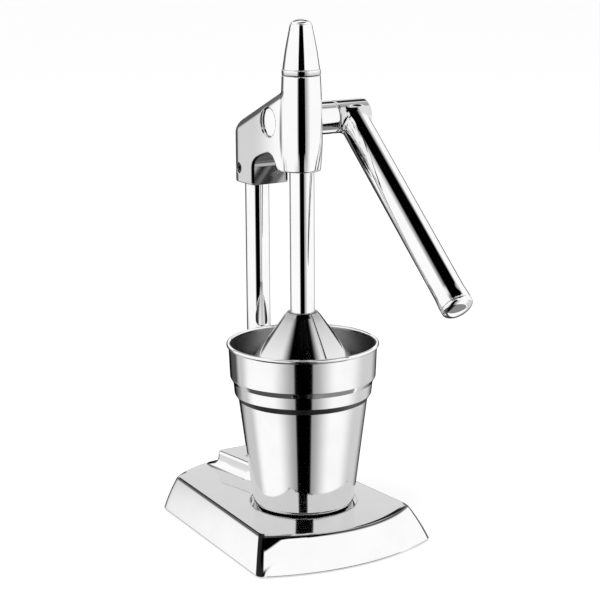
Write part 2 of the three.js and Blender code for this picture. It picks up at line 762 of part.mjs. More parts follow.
// Ram guides, shaft bushes, collar and cap
function makeGuides() {
  const low = barrelBottom + guideRecess;
  const bush = cut(
    ring(ramRadius + runGap, barrelBore - fitGap, low, guideTop),
    block(-rackHalf - runGap, rackHalf + runGap, 0, barrelBore + overrun, guideLedge, guideTop + overrun),
  );
  addPiece('ram_guide_bush', bush, BRONZE);

  const flangeFace = -cheekHalf + bushSink;
  const leftInner = -pocketHalf;
  const left = cut(
    union(
      rodAlongX(bushFlangeRadius, flangeFace, flangeFace + bushFlange, shaftY, shaftZ),
      rodAlongX(bushRadius, flangeFace + bushFlange / 2, leftInner, shaftY, shaftZ),
    ),
    rodAlongX(shaftRadius + runGap, -shaftLeftEnd - faceGap, leftInner + overrun, shaftY, shaftZ),
  );
  addPiece('shaft_bush_left', left, CHROME);

  const right = cut(
    rodAlongX(bushRadius, pocketHalf, sideBossEnd, shaftY, shaftZ),
    rodAlongX(shaftRadius + runGap, 0, sideBossEnd + overrun, shaftY, shaftZ),
  );
  addPiece('shaft_bush_right', right, BRONZE);

  const collar = turned([
    [ramTailRadius + runGap, collarSpigotBottom],
    [barrelBore - fitGap, collarSpigotBottom],
    [barrelBore - fitGap, barrelTop],
    [collarRadius, barrelTop],
    [collarRadius, collarTop],
    [collarNeckRadius, collarTop],
    [collarNeckRadius, collarNeckTop],
    [ramTailRadius + runGap, collarNeckTop],
    [ramTailRadius + runGap, collarSpigotBottom],
  ]);
  addPiece('top_guide_collar', collar, CHROME);

  const boreRadius = collarNeckRadius + fitGap;
  const dome = [];
  for (let i = 1; i <= cornerSteps; i += 1) {
    const a = RIGHT_ANGLE * i / cornerSteps;
    dome.push([capButtonRadius * Math.cos(a), capNose + (capTop - capNose) * Math.sin(a)]);
  }
  dome.at(-1)[0] = 0;
  const cap = turned([
    [boreRadius, collarTop],
    [capSeamRadius, collarTop],
    [capWaistRadius, capWaist],
    [capNoseRadius, capNose],
    [capButtonRadius, capNose],
    ...dome,
    [0, capBoreTop],
    [capBoreTopRadius, capBoreTop],
    [boreRadius, collarNeckTop + faceGap],
    [boreRadius, collarTop],
  ]);
  addPiece('top_cap', cap, CHROME);
}

// Ram with its rack
function makeRam() {
  const rodBody = turned([
    [0, ramBottom],
    [ramRadius - ramCorner, ramBottom],
    [ramRadius, ramBottom + ramCorner],
    [ramRadius, ramShoulder],
    [ramTailRadius, ramShoulder],
    [ramTailRadius, ramTop - ramCorner],
    [ramTailRadius - ramCorner, ramTop],
    [0, ramTop],
  ]);
  const holeTop = ramBottom + bellScrewLength;
  const screwPlaces = rackScrewHeights();
  const ram = cut(
    rodBody,
    block(-ramRadius, ramRadius, rackSeatY, ramRadius + overrun, rackBottom, ramShoulder),
    rod(bellScrewRadius + fitGap, ramBottom - overrun, holeTop, SMALL),
    ...screwPlaces.map((z) => rodAlongY(
      rackScrewRadius + fitGap, rackSeatY - rackScrewLength, rackSeatY + overrun, z,
    )),
  );
  addPiece('ram', ram, CHROME);

  const rack = cut(
    plateAlongX(rackOutline(), rackHalf),
    ...screwPlaces.map((z) => rodAlongY(rackScrewRadius + fitGap, 0, ramRadius * 2, z)),
  );
  addPiece('ram_rack', rack, STEEL);
  screwPlaces.forEach((z, i) => {
    const pin = rodAlongY(rackScrewRadius, rackSeatY - rackScrewLength + faceGap, rackRootY, z);
    addPiece(i ? 'rack_pin_upper' : 'rack_pin_lower', pin, STEEL);
  });
}

function rackScrewHeights() {
  // In the gaps between two teeth, one near each end.
  const low = Math.ceil((rackBottom - shaftZ) / toothPitch + 0.5) + 0.5;
  const high = Math.floor((rackTop - shaftZ) / toothPitch - 0.5) + 0.5 - 1;
  return [low, high].map((n) => shaftZ + n * toothPitch);
}

function rackOutline() {
  const points = [[rackSeatY, rackBottom], [rackRootY, rackBottom]];
  const first = Math.ceil((rackBottom - shaftZ) / toothPitch + 0.5);
  const last = Math.floor((rackTop - shaftZ) / toothPitch - 0.5);
  for (let n = first; n <= last; n += 1) {
    const z = shaftZ + n * toothPitch;
    const rootHalf = toothWidth / 2 + dedendum * flankShare;
    const tipHalf = toothWidth / 2 - addendum * flankShare;
    points.push([rackRootY, z - rootHalf], [rackTipY, z - tipHalf]);
    points.push([rackTipY, z + tipHalf], [rackRootY, z + rootHalf]);
  }
  points.push([rackRootY, rackTop], [rackSeatY, rackTop]);
  return points;
}

// Pinion outline about the shaft's axis, with a gap between teeth facing the ram.
function pinionOutline() {
  const points = [];
  const step = FULL_TURN / pinionTeeth;
  const rootRadius = pitchRadius - dedendum;
  const tipRadius = pitchRadius + addendum;
  const half = toothWidth / 2 / pitchRadius;
  const rootHalf = half * pinionRootShare;
  const tipHalf = half * pinionTipShare;
  for (let i = 0; i < pinionTeeth; i += 1) {
    const a = Math.PI + step * (i + 0.5);
    for (const [radius, offset] of [[rootRadius, -rootHalf], [pitchRadius, -half], [tipRadius, -tipHalf],
      [tipRadius, tipHalf], [pitchRadius, half], [rootRadius, rootHalf]]) {
      points.push([radius * Math.cos(a + offset), radius * Math.sin(a + offset)]);
    }
  }
  return points;
}

function makeShaft() {
  const key = block(
    -pinionHalf + keyFit,
    pinionHalf - keyFit,
    shaftY - keyHalf,
    shaftY + keyHalf,
    shaftZ + shaftRadius - keySink,
    shaftZ + shaftRadius + keyRise,
  );
  const keyWay = block(
    -pinionHalf - overrun,
    pinionHalf + overrun,
    shaftY - keyHalf - keyFit,
    shaftY + keyHalf + keyFit,
    shaftZ,
    shaftZ + shaftRadius + keyRise + keyFit,
  );
  const seat = block(
    -pinionHalf,
    pinionHalf,
    shaftY - keyHalf - keyFit,
    shaftY + keyHalf + keyFit,
    shaftZ + shaftRadius - keySink - keyFit,
    shaftZ + shaftRadius + overrun,
  );
  const tap = rodAlongX(
    hubScrewRadius + fitGap, shaftEnd - hubScrewLength, shaftEnd + overrun, shaftY, shaftZ, SMALL,
  );
  const shaft = rodAlongX(shaftRadius, -shaftLeftEnd, shaftEnd, shaftY, shaftZ);
  addPiece('lever_shaft', cut(shaft, tap, seat), STEEL);

  const blank = plateAlongX(pinionOutline(), pinionHalf).translate([0, shaftY, shaftZ]);
  const bore = rodAlongX(shaftRadius + keyFit, -pinionHalf - overrun, pinionHalf + overrun, shaftY, shaftZ);
  addPiece('pinion_gear', cut(blank, bore, keyWay), STEEL);
  addPiece('shaft_key', key, STEEL);
}

// Lever, built along -Z from the shaft's axis and then turned to its drop
function makeLever() {
  const turn = new THREE.Group();
  turn.position.set(leverX, shaftY, shaftZ);
  turn.rotation.x = LEVER_DROP - RIGHT_ANGLE;
  group.add(turn);
  const start = hubStart - leverX;
  const end = hubEnd - leverX;
  const tube = turned([
    [0, -leverLength],
    [leverEndRadius, -leverLength],
    [leverEndRadius, -leverLength + leverFlare / 4],
    [leverRadius, -leverLength + leverFlare],
    [leverRadius, 0],
    [0, 0],
  ]);
  const innerRadius = leverRadius - leverWall;
  const gripTop = shaftRadius + fitGap;
  const lever = cut(
    union(tube.translate([0, -leverOffset, 0]), rodAlongX(hubRadius, start, end, 0, 0)),
    rodAlongX(shaftRadius + fitGap, start - overrun, end + overrun, 0, 0),
    rodAlongX(hubRecessRadius, end - hubRecess, end + overrun, 0, 0),
    rod(innerRadius, -leverLength - overrun, -leverBoreStart).translate([0, -leverOffset, 0]),
    rod(gripScrewRadius + fitGap, 0, hubRadius + overrun, SMALL),
  );
  addPiece('lever', lever, CHROME, turn);

  const dome = [];
  for (let i = 0; i <= cornerSteps; i += 1) {
    const a = RIGHT_ANGLE * i / cornerSteps;
    dome.push([leverEndRadius * Math.cos(a), -leverLength - fitGap - endCapDome * Math.sin(a)]);
  }
  dome.at(-1)[0] = 0;
  const spigot = innerRadius - fitGap;
  const cap = turned([
    [0, -leverLength + endCapSpigot],
    [spigot, -leverLength + endCapSpigot],
    [spigot, -leverLength - fitGap],
    ...dome,
  ]);
  addPiece('lever_end_cap', cap.translate([0, -leverOffset, 0]), CHROME, turn);

  const grip = cut(
    rod(gripScrewRadius, gripTop, gripTop + gripScrewLength, SMALL),
    rod(gripScrewRadius / 2, gripTop + gripScrewLength / 2, gripTop + gripScrewLength + overrun, HEX),
  );
  addPiece('lever_set_screw', grip, DARK_STEEL, turn);

  const washerFace = hubEnd - hubRecess + fitGap;
  const face = washerFace + hubWasher;
  addPiece('lever_washer', cut(
    rodAlongX(hubWasherRadius, washerFace, face, shaftY, shaftZ),
    rodAlongX(hubScrewRadius + fitGap, washerFace - overrun, face + overrun, shaftY, shaftZ, SMALL),
  ), STEEL);
  addPiece('lever_screw', cut(
    union(
      rodAlongX(hubScrewHeadRadius, face, face + hubScrewHead, shaftY, shaftZ, SMALL),
      rodAlongX(hubScrewRadius, face + hubScrewHead / 2 - hubScrewLength, face + hubScrewHead / 2,
        shaftY, shaftZ, SMALL),
    ),
    rodAlongX(hubScrewHeadRadius / 2, face + hubScrewHead / 2, face + hubScrewHead + overrun,
      shaftY, shaftZ, HEX),
  ), STEEL);
}

// Press bell on the ram
function makeBell() {
  const levelWall = bellWall * Math.hypot(1, bellSlopeShare);
  const innerTop = bellConeTop - (bellCrownRadius + levelWall - bellConeTopRadius) / bellSlopeShare;
  const bell = turned([
    [ramRadius + fitGap, ramBottom],
    [ramRadius + fitGap, bellTop],
    [bellNeckRadius, bellTop],
    [bellShoulderRadius - (bellShoulderRadius - bellNeckRadius) / 4, bellTop - (bellTop - bellShoulder) / 3],
    [bellShoulderRadius, bellShoulder],
    [bellConeTopRadius, bellConeTop],
    [bellRimRadius, bellRimTop],
    [bellRimRadius, bellRimBottom],
    [bellRimRadius - bellWall, bellRimBottom],
    [bellRimRadius - bellWall, bellRimTop - bellWall / 2],
    [bellCrownRadius, Math.min(innerTop, bellCrownBottom)],
    [bellCrownRadius - bellWall, bellCrownBottom],
    [bellScrewRadius + fitGap, bellCrownBottom],
    [bellScrewRadius + fitGap, ramBottom],
    [ramRadius + fitGap, ramBottom],
  ]);
  addPiece('press_bell', bell, CHROME);
  const washerLow = bellCrownBottom - bellWasher;
  const washer = ring(bellScrewRadius + fitGap, bellWasherRadius, washerLow, bellCrownBottom, SMALL);
  addPiece('bell_washer', washer, STEEL);
  addPiece('bell_screw', cut(
    turned([
      [0, washerLow - bellScrewHead],
      [bellScrewHeadRadius, washerLow - bellScrewHead],
      [bellScrewHeadRadius, washerLow],
      [bellScrewRadius, washerLow],
      [bellScrewRadius, washerLow + bellScrewLength],
      [0, washerLow + bellScrewLength],
    ], SMALL),
    rod(bellScrewHeadRadius / 2, washerLow - bellScrewHead - overrun, washerLow - bellScrewHead / 2, HEX),
  ), STEEL);
}

// Outside of the cup above its foot, as gains of height and radius
const rollSteps = 6;
const cupGains = [
  [cupBodyHeight, cupTaper],
  [cupShoulder, cupShoulderGain],
  [cupStep, cupStepGain],
  [cupUpperShoulder, cupUpperShoulderGain],
  [cupBand, cupBandGain],
];

function makeCup() {
  const floor = seatHeight;
  const outer = [[0, floor], [cupFootRadius - cupFootCorner, floor]];
  for (let i = 1; i < cornerSteps; i += 1) {
    const a = RIGHT_ANGLE * i / cornerSteps;
    outer.push([
      cupFootRadius - cupFootCorner + cupFootCorner * Math.sin(a),
      floor + cupFootCorner - cupFootCorner * Math.cos(a),
    ]);
  }
  const rises = [];
  let radius = cupFootRadius;
  let height = floor;
  for (const [rise, gain] of cupGains) {
    radius += gain;
    height += rise;
    rises.push([radius, height]);
  }
  outer.push([cupFootRadius, floor + cupFootCorner], ...rises);
  const inner = [];
  const rollHeight = height + cupRollRadius;
  for (let i = 0; i <= rollSteps; i += 1) {
    const a = -RIGHT_ANGLE / 2 + (Math.PI + RIGHT_ANGLE / 2) * i / rollSteps;
    inner.push([cupBandTopRadius + cupRollRadius * Math.cos(a), rollHeight + cupRollRadius * Math.sin(a)]);
  }
  for (const [r, z] of rises.reverse()) inner.push([r - cupWall, z]);
  inner.push([cupFootRadius - cupWall, floor + cupFootCorner]);
  inner.push([cupFootRadius - cupFootCorner, floor + cupWall], [0, floor + cupWall]);
  addPiece('cup', turned([...outer, ...inner]), STAINLESS);
}

// Strainer on the cup's lower step, and the reamer that stands on it
function makeStrainer() {
  const ledge = strainerLedge;
  const plate = strainerPlate;
  const lipTop = ledge + strainerLip;
  const dishEdge = cupNeckRadius - cupWall - strainerDish / 2;
  const dish = turned([
    [0, plate],
    [dishEdge - strainerWall, plate],
    [strainerRadius - strainerWall, ledge],
    [strainerRadius, ledge],
    [strainerLipRadius, lipTop],
    [strainerLipRadius - strainerWall, lipTop],
    [strainerRadius - strainerWall, ledge + strainerWall],
    [dishEdge - strainerWall * 1.5, plate + strainerWall],
    [0, plate + strainerWall],
  ]);
  const holes = [];
  for (let row = 0; row < holeRows; row += 1) {
    for (let i = 0; i < holesInRow; i += 1) {
      const a = FULL_TURN * (i + row / 2) / holesInRow;
      const radius = holeFirstRow + row * holeRowStep;
      holes.push(rod(holeRadius, plate - overrun, plate + strainerWall + overrun, holeSides)
        .translate([radius * Math.cos(a), radius * Math.sin(a), 0]));
    }
  }
  addPiece('strainer', cut(dish, ...holes), STAINLESS);

  const low = plate + strainerWall;
  const top = low + reamerSkirt + reamerHeight;
  const domeAt = (share) => {
    const a = RIGHT_ANGLE * share;
    return [reamerTipRadius + (reamerRadius - reamerTipRadius) * Math.cos(a) ** 1.3,
      low + reamerSkirt + reamerHeight * Math.sin(a) ** 1.1];
  };
  const bodySteps = 7;
  const outline = [[0, low + reamerWall], [reamerRadius - reamerWall, low + reamerWall],
    [reamerRadius - reamerWall, low], [reamerRadius, low], [reamerRadius, low + reamerSkirt]];
  for (let i = 1; i < bodySteps; i += 1) outline.push(domeAt(i / bodySteps));
  outline.push([reamerTipRadius, top], [0, top + reamerTipRadius / 2]);
  const ribs = [];
  for (let i = 0; i < reamerSides; i += 1) {
    const profile = [];
    for (let k = 0; k <= bodySteps; k += 1) {
      const [r, z] = domeAt(k / bodySteps);
      profile.push([r, z + reamerRibRise * Math.sin(Math.PI * (0.15 + 0.7 * k / bodySteps))]);
    }
    const rib = plateAlongX([[0, low + reamerSkirt], ...profile, [0, top]], reamerRibHalf);
    ribs.push(rib.rotate([0, 0, 360 * i / reamerSides]));
  }
  addPiece('reamer', union(turned(outline), ...ribs), STAINLESS);
}

makeBase();
makeFeet();
makeColumn();
makeHead();
makeGuides();
makeRam();
makeShaft();
makeLever();
makeBell();
makeCup();
makeStrainer();

// The origin moves to the middle of the whole press, at the table.
const bounds = new THREE.Box3().setFromObject(group);
const middle = bounds.getCenter(new THREE.Vector3());
group.children.forEach((child) => {
  child.position.x -= middle.x;
  child.position.y -= middle.y;
});

export default group;
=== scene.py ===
"""Lever citrus juice press: its polished surfaces, finishes, floor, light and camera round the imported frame.

Lengths are millimetres in the press's own frame: the origin is the middle of the press at the table,
Z is up, and the ram stands at X = 0. A finished mesh is written in metres.
"""

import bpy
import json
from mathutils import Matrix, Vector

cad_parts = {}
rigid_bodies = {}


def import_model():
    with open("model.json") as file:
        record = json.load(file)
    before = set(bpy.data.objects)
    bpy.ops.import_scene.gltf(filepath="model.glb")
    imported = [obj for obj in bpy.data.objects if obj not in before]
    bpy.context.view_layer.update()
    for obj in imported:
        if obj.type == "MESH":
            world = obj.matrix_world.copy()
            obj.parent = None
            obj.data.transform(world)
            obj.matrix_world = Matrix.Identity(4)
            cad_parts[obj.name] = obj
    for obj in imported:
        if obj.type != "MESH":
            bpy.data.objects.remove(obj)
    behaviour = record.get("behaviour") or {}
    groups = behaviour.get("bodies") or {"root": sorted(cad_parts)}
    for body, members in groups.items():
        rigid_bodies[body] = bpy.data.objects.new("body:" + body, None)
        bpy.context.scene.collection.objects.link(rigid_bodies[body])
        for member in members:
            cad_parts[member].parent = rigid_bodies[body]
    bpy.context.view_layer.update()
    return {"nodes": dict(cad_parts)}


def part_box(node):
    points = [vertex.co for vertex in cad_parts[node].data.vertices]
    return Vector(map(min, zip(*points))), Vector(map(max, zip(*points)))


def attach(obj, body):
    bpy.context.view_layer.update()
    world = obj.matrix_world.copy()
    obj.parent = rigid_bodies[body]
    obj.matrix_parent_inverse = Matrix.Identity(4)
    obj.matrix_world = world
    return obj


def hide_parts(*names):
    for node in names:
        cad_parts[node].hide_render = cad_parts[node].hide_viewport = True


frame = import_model()

import json
import logging
import math
from dataclasses import dataclass, field, replace
from enum import Enum
from typing import Callable, ClassVar, Sequence

import bpy
import numpy as np
from mathutils import Matrix, Vector

Array = np.ndarray
Field = Callable[[Array], Array]
Corner = tuple[float, float, float]
Shade = tuple[float, float, float]
Scale = tuple[float, float, float]

MM = 0.001
TURN = 2 * math.pi
TURN_DEGREES = 360.0
RIGHT = math.pi / 2
ROUND_STEPS = 192
SMALL_STEPS = 64
BUSH_STEPS = 128
CUP_STEPS = 256
ARC_STEP = math.radians(7)
STRAIGHT = math.radians(0.3)
CREASE = math.radians(32)
SIDE_SHARE = 0.49
TOUCHING = 1e-3
TINY = 1e-6
# point attribute of painted shade: where it is high the metal's colour is darkened and a little rougher
PAINTED_SHADE = "satin"

# Roundings of worked edges, from the finest to the softest, and the space searched round a casting
FINE = 0.2
SHARP = 0.3
EASED = 0.5
BLUNT = 0.6
SOFT = 0.8
FULL = 1.2
MARGIN = 1.5

# How a skin settles on its field: the step that measures a slope, the least slope squared, and the passes
SLOPE_STEP = 0.02
LEAST_SLOPE = 0.05
SETTLING_PASSES = 3

log = logging.getLogger("press")


class Body(Enum):
    """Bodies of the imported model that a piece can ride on."""

    STAND = "stand"
    LEVER = "lever"
    RAM = "ram"
    CUP = "cup"
    STRAINER = "strainer"


class Slot(Enum):
    """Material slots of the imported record."""

    CHROME = "chrome"
    STAINLESS = "stainless"
    STEEL = "steel"
    BLACK_STEEL = "black_steel"
    BRONZE = "bronze"
    RUBBER = "rubber"


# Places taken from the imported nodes
@dataclass(frozen=True)
class NodeBox:
    """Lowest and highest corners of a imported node, in millimetres."""

    low: Array
    high: Array

    @classmethod
    def of(cls, node: str) -> "NodeBox":
        """The box of one node.

        Args:
            node: the node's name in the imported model.

        Returns:
            Its box at rest.
        """
        low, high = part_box(node)
        return cls(np.array(low) / MM, np.array(high) / MM)

    @property
    def middle(self) -> Array:
        """The box's middle."""
        return (self.low + self.high) / 2


@dataclass(frozen=True)
class Axes:
    """Where the ram, the column and the lever's shaft run."""

    ram_y: float
    column_y: float
    shaft_y: float
    shaft_z: float

    @classmethod
    def from_frame(cls) -> "Axes":
        """Reads the axes from the boxes of round nodes.

        Returns:
            The axes, in millimetres.
        """
        shaft = NodeBox.of("lever_shaft").middle
        return cls(
            ram_y=float(NodeBox.of("press_bell").middle[1]),
            column_y=float(NodeBox.of("column").middle[1]),
            shaft_y=float(shaft[1]),
            shaft_z=float(shaft[2]),
        )


# Surfaces
@dataclass(frozen=True)
class Profile:
    """Points of radius and height, with the outward normal at each.

    The outside lies to the right of the way along the profile.
    """

    points: Array
    normals: Array

    @classmethod
    def rounded(cls, corners: Sequence[Corner], closed: bool = False) -> "Profile":
        """A polygon whose corners are rounded by arcs.

        Each corner of half angle h and radius r becomes an arc whose ends lie r / tan h from the
        corner and whose centre lies r / sin h from it, on the bisector.

        Args:
            corners: radius, height and rounding of each corner, in order.
            closed: True if the last corner joins the first.

        Returns:
            The profile.
        """
        places = np.array([corner[:2] for corner in corners], dtype=float)
        count = len(corners)
        points: list[Array] = []
        normals: list[Array] = []
        for i, (_, _, radius) in enumerate(corners):
            here = places[i]
            if not closed and i in (0, count - 1):
                way = places[1] - here if i == 0 else here - places[-2]
                way = way / np.linalg.norm(way)
                points.append(here[None])
                normals.append(np.array([[way[1], -way[0]]]))
                continue
            back = places[i - 1] - here
            ahead = places[(i + 1) % count] - here
            reach_limit = SIDE_SHARE * min(np.linalg.norm(back), np.linalg.norm(ahead))
            back = back / np.linalg.norm(back)
            ahead = ahead / np.linalg.norm(ahead)
            half = math.acos(float(np.clip(back @ ahead, -1, 1))) / 2
            turn = math.pi - 2 * half
            if turn < STRAIGHT:
                points.append(here[None])
                normals.append(np.array([[ahead[1], -ahead[0]]]))
                continue
            reach = min(radius / math.tan(half), reach_limit)
            arc = reach * math.tan(half)
            bisector = (back + ahead) / np.linalg.norm(back + ahead)
            centre = here + bisector * arc / math.sin(half)
            side = 1.0 if ahead[0] * back[1] - ahead[1] * back[0] > 0 else -1.0
            start = here + back * reach - centre
            steps = max(2, math.ceil(turn / ARC_STEP) + 1)
            angle = math.atan2(start[1], start[0]) + np.linspace(0, side * turn, steps)
            spoke = np.stack([np.cos(angle), np.sin(angle)], axis=1)
            points.append(centre + arc * spoke)
            normals.append(side * spoke)
        return cls(np.concatenate(points), np.concatenate(normals))

    @classmethod
    def oval(cls, centre: tuple[float, float], radii: tuple[float, float], start: float, end: float,
             steps: int) -> "Profile":
        """An arc of an oval: centre + (a cos t, b sin t), normal (cos t / a, sin t / b).

        Args:
            centre: radius and height of the oval's centre.
            radii: half width and half height.
            start: first angle.
            end: last angle; above the first for an outward bulge.
            steps: points along the arc.

        Returns:
            The arc.
        """
        angle = np.linspace(start, end, steps)
        spoke = np.stack([np.cos(angle), np.sin(angle)], axis=1)
        normal = spoke / np.array(radii)
        side = 1.0 if end > start else -1.0
        normal = side * normal / np.linalg.norm(normal, axis=1, keepdims=True)
        return cls(np.array(centre) + spoke * np.array(radii), normal)

    @classmethod
    def dome(cls, foot: float, radius: float, rise: float, steps: int) -> "Profile":
        """A quarter of an oval that closes a piece on the axis.

        Args:
            foot: height of its foot.
            radius: radius at the foot.
            rise: height of its top above the foot.
            steps: points along the arc.

        Returns:
            The arc, from the foot up to the axis.
        """
        arc = cls.oval((0.0, foot), (radius, rise), 0.0, RIGHT, steps)
        arc.points[-1, 0] = 0.0
        return arc

    @classmethod
    def joined(cls, *parts: "Profile") -> "Profile":
        """Profiles end to end; points that meet become one, with the mean normal.

        Args:
            parts: the profiles, in order.

        Returns:
            One profile.
        """
        points = np.concatenate([part.points for part in parts])
        normals = np.concatenate([part.normals for part in parts])
        same = np.linalg.norm(np.diff(points, axis=0), axis=1) < TOUCHING
        first = np.flatnonzero(same)
        normals[first] += normals[first + 1]
        keep = np.ones(len(points), dtype=bool)
        keep[first + 1] = False
        normals = normals[keep]
        return cls(points[keep], normals / np.linalg.norm(normals, axis=1, keepdims=True))


@dataclass(frozen=True)
class Surface:
    """Points, faces of three or four corners, and for each point a normal and a painted shade value where
    known.
    """

    points: Array
    faces: tuple[Array, ...]
    normals: Array | None = None
    satin: Array | None = None

    def moved(self, x: float = 0.0, y: float = 0.0, z: float = 0.0) -> "Surface":
        """The surface shifted by x, y and z."""
        return replace(self, points=self.points + np.array([x, y, z]))

    def bare(self) -> "Surface":
        """The points and faces alone, whose sharp edges are then found by angle."""
        return Surface(self.points, self.faces)

    def turned(self, matrix: Array) -> "Surface":
        """The surface turned by a rotation matrix about the origin."""
        normals = None if self.normals is None else self.normals @ matrix.T
        return replace(self, points=self.points @ matrix.T, normals=normals)

    def mesh(self, name: str) -> bpy.types.Mesh:
        """Writes the surface as a Blender mesh, in metres.

        Args:
            name: the mesh's name.

        Returns:
            The mesh; where no normals are given its sharp edges are found by their angle.
        """
        mesh = bpy.data.meshes.new(name)
        corners = np.concatenate([face.ravel() for face in self.faces]).astype(np.int32)
        sizes = np.concatenate([np.full(len(face), face.shape[1]) for face in self.faces])
        starts = np.concatenate([[0], np.cumsum(sizes)[:-1]]).astype(np.int32)
        mesh.vertices.add(len(self.points))
        mesh.vertices.foreach_set("co", (self.points * MM).astype(np.float32).ravel())
        mesh.loops.add(len(corners))
        mesh.loops.foreach_set("vertex_index", corners)
        mesh.polygons.add(len(sizes))
        mesh.polygons.foreach_set("loop_start", starts)
        mesh.update(calc_edges=True)
        mesh.shade_smooth()
        # the painted shade values go on the mesh as a point attribute for the material
        if self.satin is not None:
            layer = mesh.attributes.new(PAINTED_SHADE, "FLOAT", "POINT")
            layer.data.foreach_set("value", self.satin.astype(np.float32))
        if self.normals is None:
            mesh.set_sharp_from_angle(angle=CREASE)
        else:
            mesh.normals_split_custom_set_from_vertices(self.normals.astype(np.float32))
        return mesh


def combined(*surfaces: Surface) -> Surface:
    """Several surfaces as one, each keeping its own points.

    Args:
        surfaces: the surfaces; either all or none have normals.

    Returns:
        The combined surface.
    """
    # painted shade of each point; a surface without it has none
    satin = np.concatenate([
        np.zeros(len(surface.points)) if surface.satin is None else surface.satin for surface in surfaces
    ])
    offsets = np.cumsum([0] + [len(surface.points) for surface in surfaces[:-1]])
    faces = tuple(face + offset for surface, offset in zip(surfaces, offsets) for face in surface.faces)
    normals = None
    if all(surface.normals is not None for surface in surfaces):
        normals = np.concatenate([surface.normals for surface in surfaces])
    return Surface(np.concatenate([surface.points for surface in surfaces]), faces, normals, satin)


def band_faces(rows: int, columns: int) -> Array:
    """Quads between neighbouring rings: ring k and k + 1, column j and j + 1, the last joined to the first.

    Args:
        rows: number of rings.
        columns: points in a ring.

    Returns:
        An array of quads whose outside is the column's way crossed with the row's way.
    """
    k, j = np.meshgrid(np.arange(rows - 1), np.arange(columns), indexing="ij")
    right = (j + 1) % columns
    here, after = k * columns, (k + 1) * columns
    return np.stack([here + j, here + right, after + right, after + j], -1).reshape(-1, 4)


def fan_faces(pole: int, first: int, columns: int, upward: bool) -> Array:
    """Triangles from a pole to a ring of points.

    Args:
        pole: number of the pole's point.
        first: number of the ring's first point.
        columns: points in the ring.
        upward: True if the fan closes the end of the rows, False if it closes their start.

    Returns:
        The triangles.
    """
    j = np.arange(columns)
    here = first + j
    after = first + (j + 1) % columns
    corners = [here, after] if upward else [after, here]
    return np.stack([np.full(columns, pole), *corners], -1)


def revolved(profile: Profile, steps: int = ROUND_STEPS, closed: bool = False) -> Surface:
    """A turned surface: the point (r, z) goes to (r cos a, r sin a, z) for a from 0 to a full turn.

    Args:
        profile: points of radius and height, from the bottom at the axis round the outside.
        steps: columns of the surface.
        closed: True for a ring, whose profile joins its own start.

    Returns:
        The surface about Z; a profile that ends on the axis is closed there by one point.
    """
    radius, height = profile.points.T
    on_axis = radius < TINY
    rows = np.flatnonzero(~on_axis)
    angle = np.arange(steps) * TURN / steps
    spoke = np.stack([np.cos(angle), np.sin(angle)], axis=1)

    def ringed(values: Array, levels: Array) -> Array:
        """Values carried round the axis, each with its level."""
        flat = values[rows][:, None, None] * spoke[None]
        return np.concatenate([flat, np.broadcast_to(levels[rows][:, None, None], flat[..., :1].shape)], -1)

    points = [ringed(radius, height).reshape(-1, 3)]
    normals = [ringed(*profile.normals.T).reshape(-1, 3)]
    faces = [band_faces(len(rows), steps)]
    count = len(rows) * steps
    if closed:
        last = band_faces(2, steps)
        faces.append(np.where(last < steps, last + count - steps, last - steps))
    for place, upward in ((0, False), (-1, True)):
        if on_axis[place]:
            first = 0 if place == 0 else count - steps
            faces.append(fan_faces(sum(map(len, points)), first, steps, upward))
            points.append(np.array([[0.0, 0.0, height[place]]]))
            normals.append(np.array([[0.0, 0.0, math.copysign(1.0, profile.normals[place, 1])]]))
    return Surface(np.concatenate(points), tuple(faces), np.concatenate(normals))


@dataclass
class RingStack:
    """Rings with as many points each, from which a closed skin is made."""

    rings: list[Array] = field(default_factory=list)
    satin: list[Array] = field(default_factory=list)

    def add(self, outline: Array, z: float | Array, satin: float | Array = 0.0) -> None:
        """Adds an outline; its height and painted shade are for the whole ring or for each point."""
        self.rings.append(np.concatenate([outline, np.broadcast_to(z, len(outline))[:, None]], 1))
        self.satin.append(np.broadcast_to(satin, len(outline)))

    def skin(self, low_pole: Sequence[float], high_pole: Sequence[float]) -> Surface:
        """The skin over the rings, closed by a fan at each end.

        Args:
            low_pole: the point that closes the first ring.
            high_pole: the point that closes the last ring.

        Returns:
            The skin; each pole has the painted shade of its ring's first point.
        """
        count, columns = len(self.rings), len(self.rings[0])
        total = count * columns
        faces = (
            band_faces(count, columns),
            fan_faces(total, 0, columns, upward=False),
            fan_faces(total + 1, total - columns, columns, upward=True),
        )
        satin = np.concatenate([*self.satin, self.satin[0][:1], self.satin[-1][:1]])
        return Surface(np.concatenate([*self.rings, [low_pole, high_pole]]), faces, satin=satin)


def turn_about_x(angle: float) -> Array:
    """Rotation matrix about X by an angle."""
    c, s = math.cos(angle), math.sin(angle)
    return np.array([[1, 0, 0], [0, c, -s], [0, s, c]])


def eased_curve(knots: Array, steps: int) -> Array:
    """A curve through knots by cubic pieces whose slope at a knot is half the way between its neighbours.

    Args:
        knots: points, one a row.
        steps: points for each piece.

    Returns:
        The points of the curve, ends included.
    """
    padded = np.concatenate([2 * knots[:1] - knots[1:2], knots, 2 * knots[-1:] - knots[-2:-1]])
    a, b, c, d = padded[:-3], padded[1:-2], padded[2:-1], padded[3:]
    t = (np.arange(steps) / steps)[None, :, None]
    a, b, c, d = (knot[:, None] for knot in (a, b, c, d))
    bend = a - 2.5 * b + 2 * c - d / 2
    twist = (-a + 3 * b - 3 * c + d) / 2
    curve = b + t * (c - a) / 2 + t**2 * bend + t**3 * twist
    return np.concatenate([curve.reshape(-1, knots.shape[1]), knots[-1:]])


def eased(share: Array) -> Array:
    """A share made to start and end gently: 3 s^2 - 2 s^3."""
    return share * share * (3 - 2 * share)


# Solids as fields: a value below nothing inside, about the distance to the skin outside
def rounded_and(a: Array, b: Array, radius: float) -> Array:
    """What two fields share, with the edge between them rounded by a radius."""
    corner = np.hypot(np.maximum(radius + a, 0), np.maximum(radius + b, 0))
    return np.minimum(-radius, np.maximum(a, b)) + corner


